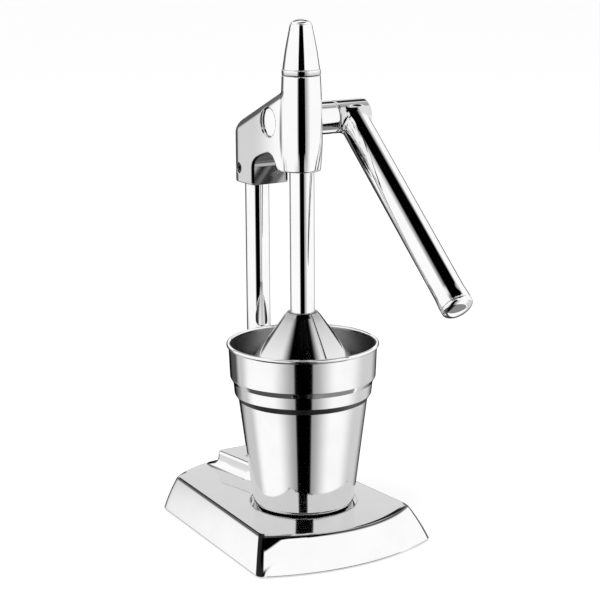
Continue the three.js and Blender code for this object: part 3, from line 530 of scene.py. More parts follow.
def rounded_or(a: Array, b: Array, radius: float) -> Array:
    """Both fields as one, with the inner corner between them filled to a radius."""
    corner = np.hypot(np.maximum(radius - a, 0), np.maximum(radius - b, 0))
    return np.maximum(radius, np.minimum(a, b)) - corner


def outline_field(outline: Array, u: Array, v: Array) -> Array:
    """Distance to a closed outline, below nothing inside it.

    The distance is the least one to any side; the sign flips with each side crossed by a line to +v.

    Args:
        outline: points of the outline.
        u: first coordinate of the places.
        v: second coordinate of the places.

    Returns:
        The field at each place.
    """
    least = np.full(u.shape, np.inf)
    sign = np.ones(u.shape)
    for (u0, v0), (u1, v1) in zip(outline, np.roll(outline, -1, axis=0)):
        du, dv = u1 - u0, v1 - v0
        along = np.clip(((u - u0) * du + (v - v0) * dv) / (du * du + dv * dv), 0, 1)
        least = np.minimum(least, (u - u0 - along * du) ** 2 + (v - v0 - along * dv) ** 2)
        crossed = (u0 > u) != (u1 > u)
        if du != 0:
            sign = np.where(crossed & (v < v0 + (u - u0) * dv / du), -sign, sign)
    return sign * np.sqrt(least)


def skinned(solid: Field, low: Array, high: Array, cell: float) -> Surface:
    """The skin of a field: one point in each cell that the skin crosses, joined to its neighbours.

    Each point starts at the mean of the crossings on its cell's edges and is then moved along the
    field's slope g by value / |g|^2, a few times, until it lies on the skin. Its normal is g / |g|.

    Args:
        solid: the field.
        low: lowest corner of the space searched.
        high: highest corner of the space searched.
        cell: size of a cell.

    Returns:
        The closed skin, with exact normals.
    """
    counts = np.ceil((high - low) / cell).astype(int) + 1
    lines = [low[axis] + cell * np.arange(counts[axis]) for axis in range(3)]

    def sheet(x: float) -> Array:
        """The field over one sheet of the grid."""
        places = np.stack(np.meshgrid(x, lines[1], lines[2], indexing="ij"), -1)
        return solid(places.reshape(-1, 3)).reshape(counts[1:])

    value = np.stack([sheet(x) for x in lines[0]])
    inside = value < 0
    corners = np.array([(i, j, k) for i in (0, 1) for j in (0, 1) for k in (0, 1)])
    total = sum(
        inside[i:counts[0] - 1 + i, j:counts[1] - 1 + j, k:counts[2] - 1 + k].astype(np.int8)
        for i, j, k in corners
    )
    active = (total > 0) & (total < len(corners))
    number = np.full(active.shape, -1)
    number[active] = np.arange(np.count_nonzero(active))
    cells = np.argwhere(active)
    spot = np.zeros(cells.shape)
    hits = np.zeros((len(cells), 1))
    unit = np.eye(3, dtype=int)
    for corner in corners:
        for axis in np.flatnonzero(corner == 0):
            here = value[tuple((cells + corner).T)]
            there = value[tuple((cells + corner + unit[axis]).T)]
            crossed = (here < 0) != (there < 0)
            share = np.where(crossed, here / np.where(crossed, here - there, 1), 0)
            spot += crossed[:, None] * (corner + share[:, None] * unit[axis])
            hits += crossed[:, None]
    points = low + cell * (cells + spot / hits)

    def slope(places: Array) -> Array:
        """The field's slope, from its values one step to each side."""
        shifts = SLOPE_STEP * np.eye(3)
        return np.stack([(solid(places + e) - solid(places - e)) / (2 * SLOPE_STEP) for e in shifts], -1)

    for _ in range(SETTLING_PASSES):
        gradient = slope(points)
        length = np.maximum((gradient**2).sum(axis=1), LEAST_SLOPE)
        move = (solid(points) / length)[:, None] * gradient
        points = points - np.clip(move, -cell / 2, cell / 2)
    gradient = slope(points)
    normals = gradient / np.maximum(np.linalg.norm(gradient, axis=1, keepdims=True), TINY)

    faces = []
    for axis in range(3):
        u, v = unit[(axis + 1) % 3], unit[(axis + 2) % 3]
        window = [slice(1, counts[k] - 1) for k in range(3)]
        window[axis] = slice(0, counts[axis] - 1)
        beyond = list(window)
        beyond[axis] = slice(1, counts[axis])
        solid_here = inside[tuple(window)]
        change = solid_here != inside[tuple(beyond)]
        place = np.argwhere(change) + np.array([part.start for part in window])
        around = [number[tuple((place - shift).T)] for shift in (u + v, v, 0 * u, u)]
        quads = np.stack(around, axis=1)
        outward = solid_here[change]
        faces.append(np.where(outward[:, None], quads, quads[:, ::-1]))
    return Surface(points, (np.concatenate(faces),), normals)


# Finishes
class Wire:
    """A node's output on which Python's operators add Math nodes."""

    def __init__(self, sheet: "NodeSheet", output: bpy.types.NodeSocket) -> None:
        """Wraps an output.

        Args:
            sheet: the node sheet that the output is on.
            output: the output.
        """
        self.sheet = sheet
        self.output = output

    def maths(self, operation: str, *values: "Wire | float") -> "Wire":
        """A Math node on this wire's sheet."""
        return self.sheet.add("ShaderNodeMath", {"operation": operation}, dict(enumerate(values)))

    def __add__(self, other: "Wire | float") -> "Wire":
        """Sum."""
        return self.maths("ADD", self, other)

    __radd__ = __add__

    def __sub__(self, other: "Wire | float") -> "Wire":
        """Difference."""
        return self.maths("SUBTRACT", self, other)

    def __rsub__(self, other: float) -> "Wire":
        """Difference from a number."""
        return self.maths("SUBTRACT", other, self)

    def __mul__(self, other: "Wire | float") -> "Wire":
        """Product."""
        return self.maths("MULTIPLY", self, other)

    __rmul__ = __mul__

    def __pow__(self, other: float) -> "Wire":
        """Power."""
        return self.maths("POWER", self, other)

    def most(self, other: "Wire | float") -> "Wire":
        """The larger of two values."""
        return self.maths("MAXIMUM", self, other)

    def beside(self, name: str) -> "Wire":
        """Another output of the same node."""
        return Wire(self.sheet, self.output.node.outputs[name])

    def stepped(self, start: float, end: float) -> "Wire":
        """A smooth step from 0 at start to 1 at end."""
        inputs = {"Value": self, "From Min": start, "From Max": end}
        return self.sheet.add("ShaderNodeMapRange", {"interpolation_type": "SMOOTHSTEP"}, inputs)


class NodeSheet:
    """The nodes of one material or world."""

    def __init__(self, tree: bpy.types.NodeTree) -> None:
        """Takes over a node tree.

        Args:
            tree: the node tree, which is emptied first.
        """
        self.tree = tree
        tree.nodes.clear()

    def add(self, kind: str, settings: dict | None = None, inputs: dict | None = None,
            output: str | int = 0) -> Wire | None:
        """Adds a node.

        Args:
            kind: the node's type.
            settings: its properties, set first.
            inputs: a value or a wire for each socket that isn't left as it is.
            output: the output that is wanted.

        Returns:
            That output as a wire, or None from a node that has no outputs.
        """
        node = self.tree.nodes.new(kind)
        for name, value in (settings or {}).items():
            setattr(node, name, value)
        for name, value in (inputs or {}).items():
            if isinstance(value, Wire):
                self.tree.links.new(value.output, node.inputs[name])
            else:
                node.inputs[name].default_value = value
        return Wire(self, node.outputs[output]) if node.outputs else None

    def places(self, scale: Scale) -> Wire:
        """Object coordinates, stretched by a scale along each axis."""
        coordinates = self.add("ShaderNodeTexCoord", output="Object")
        return self.add("ShaderNodeMapping", inputs={"Vector": coordinates, "Scale": scale})

    def noise(self, scale: float, detail: float, roughness: float = 0.5,
              stretch: Scale = (1.0, 1.0, 1.0)) -> Wire:
        """Noise from 0 to 1 over the piece, at so many waves a metre."""
        inputs = {"Vector": self.places(stretch), "Scale": scale, "Detail": detail, "Roughness": roughness}
        return self.add("ShaderNodeTexNoise", inputs=inputs, output="Fac")

    def blend(self, factor: Wire, first: Wire | Shade, second: Wire | Shade) -> Wire:
        """A colour between two others, each a wire or a shade."""
        first, second = (shade if isinstance(shade, Wire) else (*shade, 1.0) for shade in (first, second))
        return self.add("ShaderNodeMix", {"data_type": "RGBA"}, {"Factor": factor, 6: first, 7: second}, 2)

    def bump(self, height: Wire, depth: float) -> Wire:
        """A normal from a height, whose full swing is a depth in metres."""
        inputs = {"Height": height, "Distance": depth, "Strength": 1.0}
        return self.add("ShaderNodeBump", inputs=inputs, output="Normal")


def new_material(name: str) -> tuple[bpy.types.Material, NodeSheet]:
    """A new material with an empty node sheet.

    Args:
        name: the material's name.

    Returns:
        The material and its sheet.
    """
    material = bpy.data.materials.new(name)
    material.use_nodes = True
    return material, NodeSheet(material.node_tree)


@dataclass(frozen=True)
class Metal:
    """A bare or plated metal: two close shades, a soft haze of the polish, and fine work marks."""

    name: str
    dark: Shade
    light: Shade
    roughness: float
    haze: float
    waviness: float
    mark_depth: float
    mark_stretch: Scale = (1.0, 1.0, 1.0)
    metallic: float = 1.0
    # how far the painted shade value darkens the colour, and how much rougher it makes the metal
    painted_shade_drop: float = 0.35
    painted_shade_haze: float = 0.03
    mark_haze_share: float = 0.35
    cloud_span: tuple[float, float] = (0.35, 0.7)

    def material(self) -> bpy.types.Material:
        """Builds the material.

        Shade follows slow noise, roughness is the polish plus haze times cloudy noise squared, and
        the surface has slow waves from casting and fine marks from polishing. Where a piece's painted
        shade value is 1 the colour is darker by the drop, a painted shade, and rougher by the haze.

        Returns:
            The material.
        """
        material, sheet = new_material(self.name)
        cloud = sheet.noise(scale=38.0, detail=4.0, roughness=0.6)
        marks = sheet.noise(scale=900.0, detail=2.0, roughness=0.55, stretch=self.mark_stretch)
        slow = sheet.noise(scale=26.0, detail=1.0, roughness=0.4)
        # the painted shade value of each point
        satin = sheet.add("ShaderNodeAttribute", {"attribute_name": PAINTED_SHADE}, output="Fac")
        roughness = self.roughness + self.haze * cloud**2 + self.mark_haze_share * self.haze * marks
        roughness = roughness + self.painted_shade_haze * satin
        polish = sheet.blend(cloud.stepped(*self.cloud_span), self.dark, self.light)
        height = slow + marks * (self.mark_depth / self.waviness)
        normal = sheet.bump(height, self.waviness)
        shader = sheet.add("ShaderNodeBsdfPrincipled", inputs={
            # painted shade: the colour darkens towards black with the painted shade value
            "Base Color": sheet.blend(satin * self.painted_shade_drop, polish, (0.0, 0.0, 0.0)),
            "Metallic": self.metallic,
            "Roughness": roughness,
            "Normal": normal,
        }, output="BSDF")
        sheet.add("ShaderNodeOutputMaterial", inputs={"Surface": shader})
        return material


@dataclass(frozen=True)
class Rubber:
    """Moulded rubber: dull, finely grained, with a little dust."""

    name: str
    colour: Shade
    dust: Shade
    dust_span: tuple[float, float] = (0.52, 0.8)
    dust_share: float = 0.5
    roughness: float = 0.62
    grain_haze: float = 0.25
    grain_depth: float = 0.00003

    def material(self) -> bpy.types.Material:
        """Builds the material: a fine moulded grain, and dust where slow noise is high.

        Returns:
            The material.
        """
        material, sheet = new_material(self.name)
        grain = sheet.noise(scale=1400.0, detail=2.0)
        dust = sheet.noise(scale=120.0, detail=5.0).stepped(*self.dust_span)
        shader = sheet.add("ShaderNodeBsdfPrincipled", inputs={
            "Base Color": sheet.blend(dust * self.dust_share, self.colour, self.dust),
            "Roughness": self.roughness + self.grain_haze * grain,
            "Normal": sheet.bump(grain, self.grain_depth),
        }, output="BSDF")
        sheet.add("ShaderNodeOutputMaterial", inputs={"Surface": shader})
        return material


@dataclass
class FinishBook:
    """The finishes by slot, each made once."""

    finishes: dict[Slot, Metal | Rubber] = field(default_factory=lambda: {
        Slot.CHROME: Metal(
            "polished_chrome", dark=(0.945, 0.945, 0.95), light=(0.975, 0.975, 0.975), roughness=0.02,
            haze=0.02, waviness=1.6e-6, mark_depth=1.0e-7),
        Slot.STAINLESS: Metal(
            "polished_stainless", dark=(0.93, 0.93, 0.93), light=(0.97, 0.97, 0.97), roughness=0.06,
            haze=0.04, waviness=1.6e-6, mark_depth=3.0e-7, mark_stretch=(0.12, 0.12, 5.0),
            # the stainless darkens more under painted shade, and roughens more, than the chrome
            painted_shade_drop=0.66, painted_shade_haze=0.22),
        Slot.STEEL: Metal(
            "ground_steel", dark=(0.42, 0.42, 0.43), light=(0.56, 0.56, 0.57), roughness=0.28,
            haze=0.18, waviness=4.0e-6, mark_depth=1.5e-6),
        Slot.BLACK_STEEL: Metal(
            "black_oxide_steel", dark=(0.035, 0.035, 0.038), light=(0.07, 0.07, 0.075), roughness=0.34,
            haze=0.2, waviness=3.0e-6, mark_depth=1.5e-6, metallic=0.85),
        Slot.BRONZE: Metal(
            "oiled_bronze", dark=(0.40, 0.24, 0.09), light=(0.58, 0.38, 0.17), roughness=0.3,
            haze=0.15, waviness=4.0e-6, mark_depth=1.5e-6),
        Slot.RUBBER: Rubber("moulded_rubber", colour=(0.018, 0.018, 0.018), dust=(0.11, 0.105, 0.10)),
    })
    made: dict[Slot, bpy.types.Material] = field(default_factory=dict)

    def get(self, slot: Slot) -> bpy.types.Material:
        """The material of a slot.

        Args:
            slot: the slot.

        Returns:
            Its material, which is made at the first call.
        """
        if slot not in self.made:
            self.made[slot] = self.finishes[slot].material()
        return self.made[slot]


@dataclass
class Workshop:
    """Puts finished surfaces into the scene as pieces of the press."""

    book: FinishBook = field(default_factory=FinishBook)

    def place(self, name: str, surface: Surface | bpy.types.Mesh, slot: Slot, body: Body,
              nodes: Sequence[str]) -> bpy.types.Object:
        """Makes a piece.

        Args:
            name: the piece's name.
            surface: its surface, in the press's frame, or a finished mesh.
            slot: the finish.
            body: the body that it rides on.
            nodes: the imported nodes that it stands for.

        Returns:
            The piece's object, at the origin.
        """
        mesh = surface.mesh(name) if isinstance(surface, Surface) else surface
        piece = bpy.data.objects.new(name, mesh)
        bpy.context.scene.collection.objects.link(piece)
        mesh.materials.append(self.book.get(slot))
        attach(piece, body.value)
        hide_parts(*nodes)
        log.info("%s: %d faces on %s, for %s", name, len(mesh.polygons), body.value, ", ".join(nodes))
        return piece

    def dress(self, slot: Slot, nodes: Sequence[str]) -> None:
        """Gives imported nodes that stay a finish.

        Args:
            slot: the finish.
            nodes: the nodes.
        """
        for node in nodes:
            packed = frame["nodes"][node]
            for place in packed.material_slots:
                place.material = self.book.get(slot)
            log.info("%s: packed node in %s", node, slot.value)


# Sub-assemblies
@dataclass
class Base:
    """The cast base with its bowed edges, crowned top, cup seat and column boss."""

    axes: Axes
    height: float = 29.0
    crown: float = 2.5
    lift: float = 1.2
    front_half: float = 68.0
    rear_half: float = 58.6
    front_y: float = -47.5
    rear_y: float = 112.0
    front_bow: float = 27.0
    rear_bow: float = 23.0
    edge: float = 5.0
    top_lean: float = math.radians(35)
    foot_lean: float = math.radians(22.5)
    foot_edge: float = 1.0
    spread_share: float = 0.78
    front_corner_share: float = 1.1
    front_bow_share: float = 0.655
    rear_share: float = 0.27
    corner_share: float = 0.06
    corner_round: float = 3.4
    # painted reflection down the two front corners, and painted shade along the top edge between these drops
    # below it
    corner_painted_reflection: float = 2.8
    crease_painted_shade: float = 2.6
    crease_start: float = 0.25
    crease_full: float = 0.45
    crease_drop: float = 1.4
    crease_end: float = 2.0
    wall: float = 6.0
    roof: float = 5.0
    roof_shares: tuple[float, ...] = (0.3, 0.6, 0.9)
    hollow_lip: float = 1.0
    sole_width: float = 1.2
    sole_inner: float = 0.5
    sole_outer: float = 0.4
    sole_rise: float = 0.3
    seat_radius: float = 44.5
    seat_rise: float = 1.0
    seat_edge: float = 0.5
    seat_soft: float = 0.15
    seat_lip: float = 0.2
    seat_corner: float = 0.4
    # painted shadow on the seat wall round the cup's foot
    seat_painted_shadow: float = 2.0
    seat_shares: tuple[float, ...] = (0.7, 0.35, 0.1)
    pad_low: float = 6.1
    pad_radius: float = 11.0
    bolt_pad_radius: float = 19.0
    bolt_pad_edge: float = 1.0
    pad_sink: float = 0.5
    crown_limit: float = 1.6
    bow_steps: int = 96
    side_steps: int = 56
    corner_steps: int = 14
    edge_steps: int = 9
    wall_steps: int = 40
    hollow_steps: int = 10
    top_steps: int = 26
    side: Array = field(init=False)

    def __post_init__(self) -> None:
        """Works out the side wall once."""
        self.side = self.side_line()

    @property
    def middle_y(self) -> float:
        """Y of the middle between the front and rear corners."""
        return (self.front_y + self.rear_y) / 2

    def side_line(self) -> Array:
        """The side wall's reach past the top edge against height.

        Below the rounded top edge the wall leans by an angle a that falls evenly from the top lean to
        the foot lean, so that reach is the sum of sin a and height the sum of cos a over its length.

        Returns:
            Pairs of reach and height, from the top edge down to the foot.
        """
        turn = np.linspace(0, RIGHT - self.top_lean, self.edge_steps)
        edge_reach = self.edge * np.sin(turn)
        edge_drop = self.edge * (1 - np.cos(turn))
        lean = np.linspace(self.top_lean, self.foot_lean, self.wall_steps)
        middle = (lean[1:] + lean[:-1]) / 2
        drop = np.concatenate([[0], np.cumsum(np.cos(middle))])
        reach = np.concatenate([[0], np.cumsum(np.sin(middle))])
        scale = (self.height - self.lift - self.foot_edge - edge_drop[-1]) / drop[-1]
        reaches = np.concatenate([edge_reach, edge_reach[-1] + scale * reach[1:]])
        drops = np.concatenate([edge_drop, edge_drop[-1] + scale * drop[1:]])
        return np.stack([reaches, self.height - drops], 1)

    def reach(self, z: float) -> float:
        """The side wall's reach past the top edge at a height."""
        reaches, heights = self.side[::-1].T
        return float(np.interp(z, heights, reaches))

    def outline(self, outset: float) -> Array:
        """The edge of the base at an outset from its top edge, about the ram's axis.

        Bowed edges lie on circles through their corners and middle, y = sqrt(R^2 - x^2) - (R - bow);
        corners are quadratic curves that start and end at one distance from the corner.

        Args:
            outset: how far the edge lies outside the top edge.

        Returns:
            Points in the plane, the way round that is seen as anticlockwise from above.
        """
        front_half = self.front_half + outset * self.spread_share
        rear_half = self.rear_half + outset * self.spread_share
        front_y = self.front_y - outset * self.front_corner_share
        rear_y = self.rear_y + outset * self.rear_share
        front_bow = self.front_bow - outset * (self.front_corner_share - self.front_bow_share)
        distance = self.corner_round + max(outset, 0.0) * self.corner_share

        def bowed(half: float, bow: float, xs: Array) -> Array:
            """How far a bowed edge stands out past its corners."""
            radius = (half * half + bow * bow) / (2 * bow)
            return np.sqrt(radius * radius - xs * xs) - (radius - bow)

        def trimmed(line: Array) -> Array:
            """The line without its first and last stretch of the corner distance, spread evenly again.

            Args:
                line: its points.

            Returns:
                As many points on what is left.
            """
            run = np.concatenate([[0], np.cumsum(np.linalg.norm(np.diff(line, axis=0), axis=1))])
            even = np.linspace(distance, run[-1] - distance, len(line))
            return np.stack([np.interp(even, run, line[:, k]) for k in (0, 1)], 1)

        def straight(a: Array, b: Array) -> Array:
            """A straight edge between two corners."""
            return a + np.linspace(0, 1, self.side_steps + 1)[:, None] * (b - a)

        share = np.linspace(-1, 1, self.bow_steps + 1)
        front_x = share * front_half
        rear_x = -share * rear_half
        front = np.stack([front_x, front_y - bowed(front_half, front_bow, front_x)], 1)
        rear = np.stack([rear_x, rear_y + bowed(rear_half, self.rear_bow, rear_x)], 1)
        corners = np.array([
            [-front_half, front_y], [front_half, front_y], [rear_half, rear_y], [-rear_half, rear_y]])
        lines = [front, straight(corners[1], corners[2]), rear, straight(corners[3], corners[0])]
        edges = [trimmed(line) for line in lines]
        t = np.linspace(0, 1, self.corner_steps + 1)[1:-1, None]
        points = []
        for i, edge in enumerate(edges):
            start, end, corner = edge[-1], edges[(i + 1) % 4][0], corners[(i + 1) % 4]
            points += [edge, (1 - t) ** 2 * start + 2 * t * (1 - t) * corner + t**2 * end]
        return np.concatenate(points)

    def top(self, xy: Array) -> Array:
        """Height of the crowned top: h + c (1 - u^2)(1 - v^2), u and v the shares of the way to the edges.

        Args:
            xy: places on the top, about the ram's axis.

        Returns:
            The height at each place.
        """
        x, y = xy[..., 0], xy[..., 1]
        along = (y - self.middle_y) / (self.rear_y - self.front_y) * 2
        along = np.clip(along, -self.crown_limit, self.crown_limit)
        half = self.front_half + (self.rear_half - self.front_half) * (along + 1) / 2
        reach = np.where(along < 0, self.middle_y - self.front_y + self.front_bow,
                         self.rear_y - self.middle_y + self.rear_bow)
        u = np.clip(x / half, -1, 1)
        v = np.clip((y - self.middle_y) / reach, -1, 1)
        return self.height + self.crown * (1 - u * u) * (1 - v * v)

    def shell(self) -> Surface:
        """Underside, side wall, crowned top and cup seat: rings from the hollow's roof to the seat's middle.

        The metal's colour carries painted light: a dark painted shade line along the top edge, a dark
        painted reflection down the two front corners, a fainter painted shade over the top and a painted
        shadow on the seat wall.

        Returns:
            The closed skin about the ram's axis.
        """
        stack = RingStack()
        roof = self.height - self.roof
        inside_edge = self.outline(self.reach(roof) - self.wall)
        middle = np.array([0.0, self.middle_y])
        for share in self.roof_shares:
            stack.add(middle + (inside_edge - middle) * share, roof)
        for z in np.linspace(roof, self.lift + self.hollow_lip, self.hollow_steps):
            stack.add(self.outline(self.reach(z) - self.wall), z)
        foot = self.reach(self.lift)
        stack.add(self.outline(foot - self.wall + self.sole_inner), self.lift + self.sole_rise)
        stack.add(self.outline(foot - self.wall + self.sole_width), self.lift)
        stack.add(self.outline(foot - self.sole_width), self.lift)
        stack.add(self.outline(foot - self.sole_outer), self.lift + self.sole_rise)
        # painted reflection: a dark line down each front corner
        first_corner = self.bow_steps + 1
        at_corner = np.zeros(len(inside_edge))
        at_corner[first_corner:first_corner + self.corner_steps - 1] = self.corner_painted_reflection
        at_corner[1 - self.corner_steps:] = self.corner_painted_reflection
        # painted shade: a dark line just below the top edge, and a fainter painted shade over the top
        crease_drops = [self.crease_start, self.crease_full, self.crease_drop, self.crease_end]
        for outset, z in self.side[:0:-1]:
            drop = self.height - z
            crease = self.crease_painted_shade * float(np.interp(drop, crease_drops, [0, 1, 1, 0]))
            on_top = float(drop < self.crease_start)
            stack.add(self.outline(outset), z, np.maximum(at_corner, crease) + on_top)
        edge = self.outline(0.0)
        bearing = np.arctan2(edge[:, 1], edge[:, 0])
        spoke = np.stack([np.cos(bearing), np.sin(bearing)], 1)
        seat_edge = (self.seat_radius + self.seat_edge) * spoke
        # fainter painted shade over the whole top
        for share in np.linspace(0, 1, self.top_steps):
            xy = edge + (seat_edge - edge) * share
            stack.add(xy, self.top(xy), 1.0)
        floor = self.height + self.seat_rise
        rim = self.top(seat_edge)
        wall_top = np.maximum(rim - self.seat_edge, floor + self.seat_lip)
        # painted shadow on the seat wall round the cup's foot, and fainter painted shade on the seat's floor
        stack.add((self.seat_radius + self.seat_soft) * spoke, rim - self.seat_soft, 1.0)
        stack.add(self.seat_radius * spoke, wall_top, self.seat_painted_shadow)
        stack.add(self.seat_radius * spoke, floor + self.seat_soft, self.seat_painted_shadow)
        stack.add((self.seat_radius - self.seat_corner) * spoke, floor, 1.0)
        for share in self.seat_shares:
            stack.add(self.seat_radius * share * spoke, floor, 1.0)
        return stack.skin((0.0, self.middle_y, roof), (0.0, 0.0, floor))

    def pads(self) -> list[Surface]:
        """The pads under the roof.

        Returns:
            One pad over each foot and one for the column's bolt.
        """
        roof = self.height - self.roof + self.pad_sink

        def pad(low: float, radius: float, edge: float) -> Surface:
            """A round pad from a height up into the roof."""
            outline = [(0, low, 0), (radius, low, edge), (radius, roof, BLUNT), (0, roof, 0)]
            return revolved(Profile.rounded(outline), SMALL_STEPS).bare()

        pads = []
        for place in Feet.places:
            x, y, _ = NodeBox.of(f"rubber_foot_{place}").middle
            pads.append(pad(self.pad_low, self.pad_radius, BLUNT).moved(x, y))
        washer_top = float(NodeBox.of("column_washer").high[2])
        bolt_pad = pad(washer_top, self.bolt_pad_radius, self.bolt_pad_edge)
        return [*pads, bolt_pad.moved(0, self.axes.column_y)]

    def build(self, shop: Workshop) -> None:
        """Makes the base's piece.

        Args:
            shop: where it is put.
        """
        boss = ColumnBoss(self.axes, foot_z=self.height + self.crown / 2)
        shell = combined(self.shell().moved(y=self.axes.ram_y), boss.shell(), *self.pads())
        shop.place("polished_base", shell, Slot.CHROME, Body.STAND, ["base_casting"])


@dataclass
class ColumnBoss:
    """The boss that holds the column: round in front, wider and square at the rear, flared at its foot."""

    axes: Axes
    foot_z: float
    top_z: float = 45.5
    front_radius: float = 15.0
    rear_half: float = 20.0
    rear_length: float = 42.4
    flare: float = 3.5
    rear_flare: float = 15.0
    flare_power: float = 3.2
    flare_share: float = 1.1
    root: float = 4.0
    root_share: float = 1.25
    root_start: float = 1.2
    corner: float = 5.0
    least_corner: float = 0.8
    edge: float = 2.2
    crease: float = 0.9
    # painted shade in the crease at the foot
    crease_painted_shade: float = 2.4
    top_skin: float = 0.1
    top_shares: tuple[float, ...] = (0.3, 0.65, 1.0)
    hole: float = 10.3
    hole_edge: float = 0.5
    hole_soft: float = 0.15
    arc_steps: int = 72
    corner_steps: int = 12
    side_steps: int = 24
    wall_steps: int = 22
    edge_steps: int = 9

    def outline(self, spread: float, inset: float) -> Array:
        """The boss's outline about the column: an arc of half a turn, two straight sides and a rounded rear.

        Args:
            spread: share of the flare at this height.
            inset: how far the outline is drawn in.

        Returns:
            Points in the plane, anticlockwise from above.
        """
        radius = self.front_radius + self.flare * spread - inset
        half = self.rear_half + self.flare * spread - inset
        rear = self.rear_length + self.rear_flare * spread - inset
        corner = max(self.corner - inset, self.least_corner)
        angle = np.linspace(-math.pi, 0, self.arc_steps + 1)
        front = radius * np.stack([np.cos(angle), np.sin(angle)], 1)
        turn = np.linspace(0, RIGHT, self.corner_steps + 1)
        spoke = corner * np.stack([np.cos(turn), np.sin(turn)], 1)
        right = np.array([half - corner, rear - corner]) + spoke
        left = right[::-1] * [-1, 1]
        step = np.linspace(0, 1, self.side_steps + 1)[1:-1, None]
        return np.concatenate([
            front,
            front[-1] + (right[0] - front[-1]) * step,
            right,
            right[-1] + (left[0] - right[-1]) * step,
            left,
            left[-1] + (front[0] - left[-1]) * step,
        ])

    def shell(self) -> Surface:
        """Flared wall, rounded top edge, flat top and the hole round the column.

        At share t of the way up the flare has (1 - t)^3.2 of its spread left, and the top edge is a
        quarter circle. Painted shade darkens the metal in the crease at the foot and, more faintly, over the
        top.

        Returns:
            The closed skin.
        """
        stack = RingStack()
        start = self.foot_z - self.root_start
        rise = self.top_z - self.foot_z + self.root_start - self.edge
        stack.add(self.outline(self.root_share, 0.0), self.foot_z - self.root)
        for t in np.linspace(0, 1, self.wall_steps):
            stack.add(self.outline((1 - t) ** self.flare_power * self.flare_share, 0.0), start + rise * t)
        for a in np.linspace(0, RIGHT, self.edge_steps)[1:]:
            z = self.top_z - self.edge * (1 - math.sin(a))
            stack.add(self.outline(0.0, self.edge * (1 - math.cos(a))), z)
        edge = stack.rings[-1][:, :2]
        bearing = np.arctan2(edge[:, 1], edge[:, 0])
        spoke = np.stack([np.cos(bearing), np.sin(bearing)], 1)
        for share in self.top_shares:
            stack.add(edge + ((self.hole + self.hole_edge) * spoke - edge) * share, self.top_z)
        stack.add((self.hole + self.hole_soft) * spoke, self.top_z - self.hole_soft)
        stack.add(self.hole * spoke, self.top_z - self.hole_edge)
        stack.add(self.hole * spoke, self.foot_z)
        shell = stack.skin((0.0, 0.0, self.foot_z - self.root), (0.0, 0.0, self.foot_z))
        shell = shell.moved(y=self.axes.column_y)
        # painted shade: dark in the crease at the foot, fainter over the top
        above = (shell.points[:, 2] - self.foot_z - self.crease) / self.crease
        on_top = shell.points[:, 2] > self.top_z - self.top_skin
        return replace(shell, satin=self.crease_painted_shade * np.clip(-above, 0, 1) + on_top)


@dataclass
class Feet:
    """Four rubber feet with a peg into the base and a shallow groove in the sole."""

    places: ClassVar[tuple[str, ...]] = ("front_left", "front_right", "rear_left", "rear_right")
    radius: float = 9.0
    height: float = 6.0
    chamfer: float = 1.0
    chamfer_round: float = 0.5
    groove: float = 0.5
    groove_shares: tuple[float, ...] = (0.45, 0.5, 0.66, 0.7)
    groove_round: float = 0.4
    taper: float = 0.3
    peg: float = 4.0
    peg_length: float = 8.0
    peg_chamfer: float = 0.6

    def build(self, shop: Workshop) -> None:
        """Makes the four feet.

        Args:
            shop: where they are put.
        """
        top = self.height + self.peg_length
        inner, groove_inner, groove_outer, outer = (self.radius * share for share in self.groove_shares)
        profile = Profile.rounded([
            (0, 0, 0),
            (inner, 0, SHARP),
            (groove_inner, self.groove, self.groove_round),
            (groove_outer, self.groove, self.groove_round),
            (outer, 0, SHARP),
            (self.radius - self.chamfer, 0, self.chamfer_round),
            (self.radius, self.chamfer, SOFT),
            (self.radius - self.taper, self.height, EASED),
            (self.peg, self.height, SHARP),
            (self.peg, top - self.peg_chamfer, EASED),
            (self.peg - self.peg_chamfer, top, SHARP),
            (0, top, 0),
        ])
        foot = revolved(profile, SMALL_STEPS)
        for place in self.places:
            node = f"rubber_foot_{place}"
            x, y, _ = NodeBox.of(node).middle
            shop.place(f"foot_{place}", foot.moved(float(x), float(y)), Slot.RUBBER, Body.STAND, [node])


@dataclass
class Column:
    """The plated column between base and head."""

    axes: Axes
    chamfer: float = 1.0

    def build(self, shop: Workshop) -> None:
        """Makes the column: a plain rod with chamfered ends.

        Args:
            shop: where it is put.
        """
        box = NodeBox.of("column")
        radius = float(box.high[0])
        low, high = float(box.low[2]), float(box.high[2])
        profile = Profile.rounded([
            (0, low, 0),
            (radius - self.chamfer, low, SHARP),
            (radius, low + self.chamfer, SHARP),
            (radius, high - self.chamfer, SHARP),
            (radius - self.chamfer, high, SHARP),
            (0, high, 0),
        ])
        rod = revolved(profile).moved(y=self.axes.column_y)
        shop.place("plated_column", rod, Slot.CHROME, Body.STAND, ["column"])
        shop.dress(Slot.STEEL, ["column_washer", "column_bolt"])


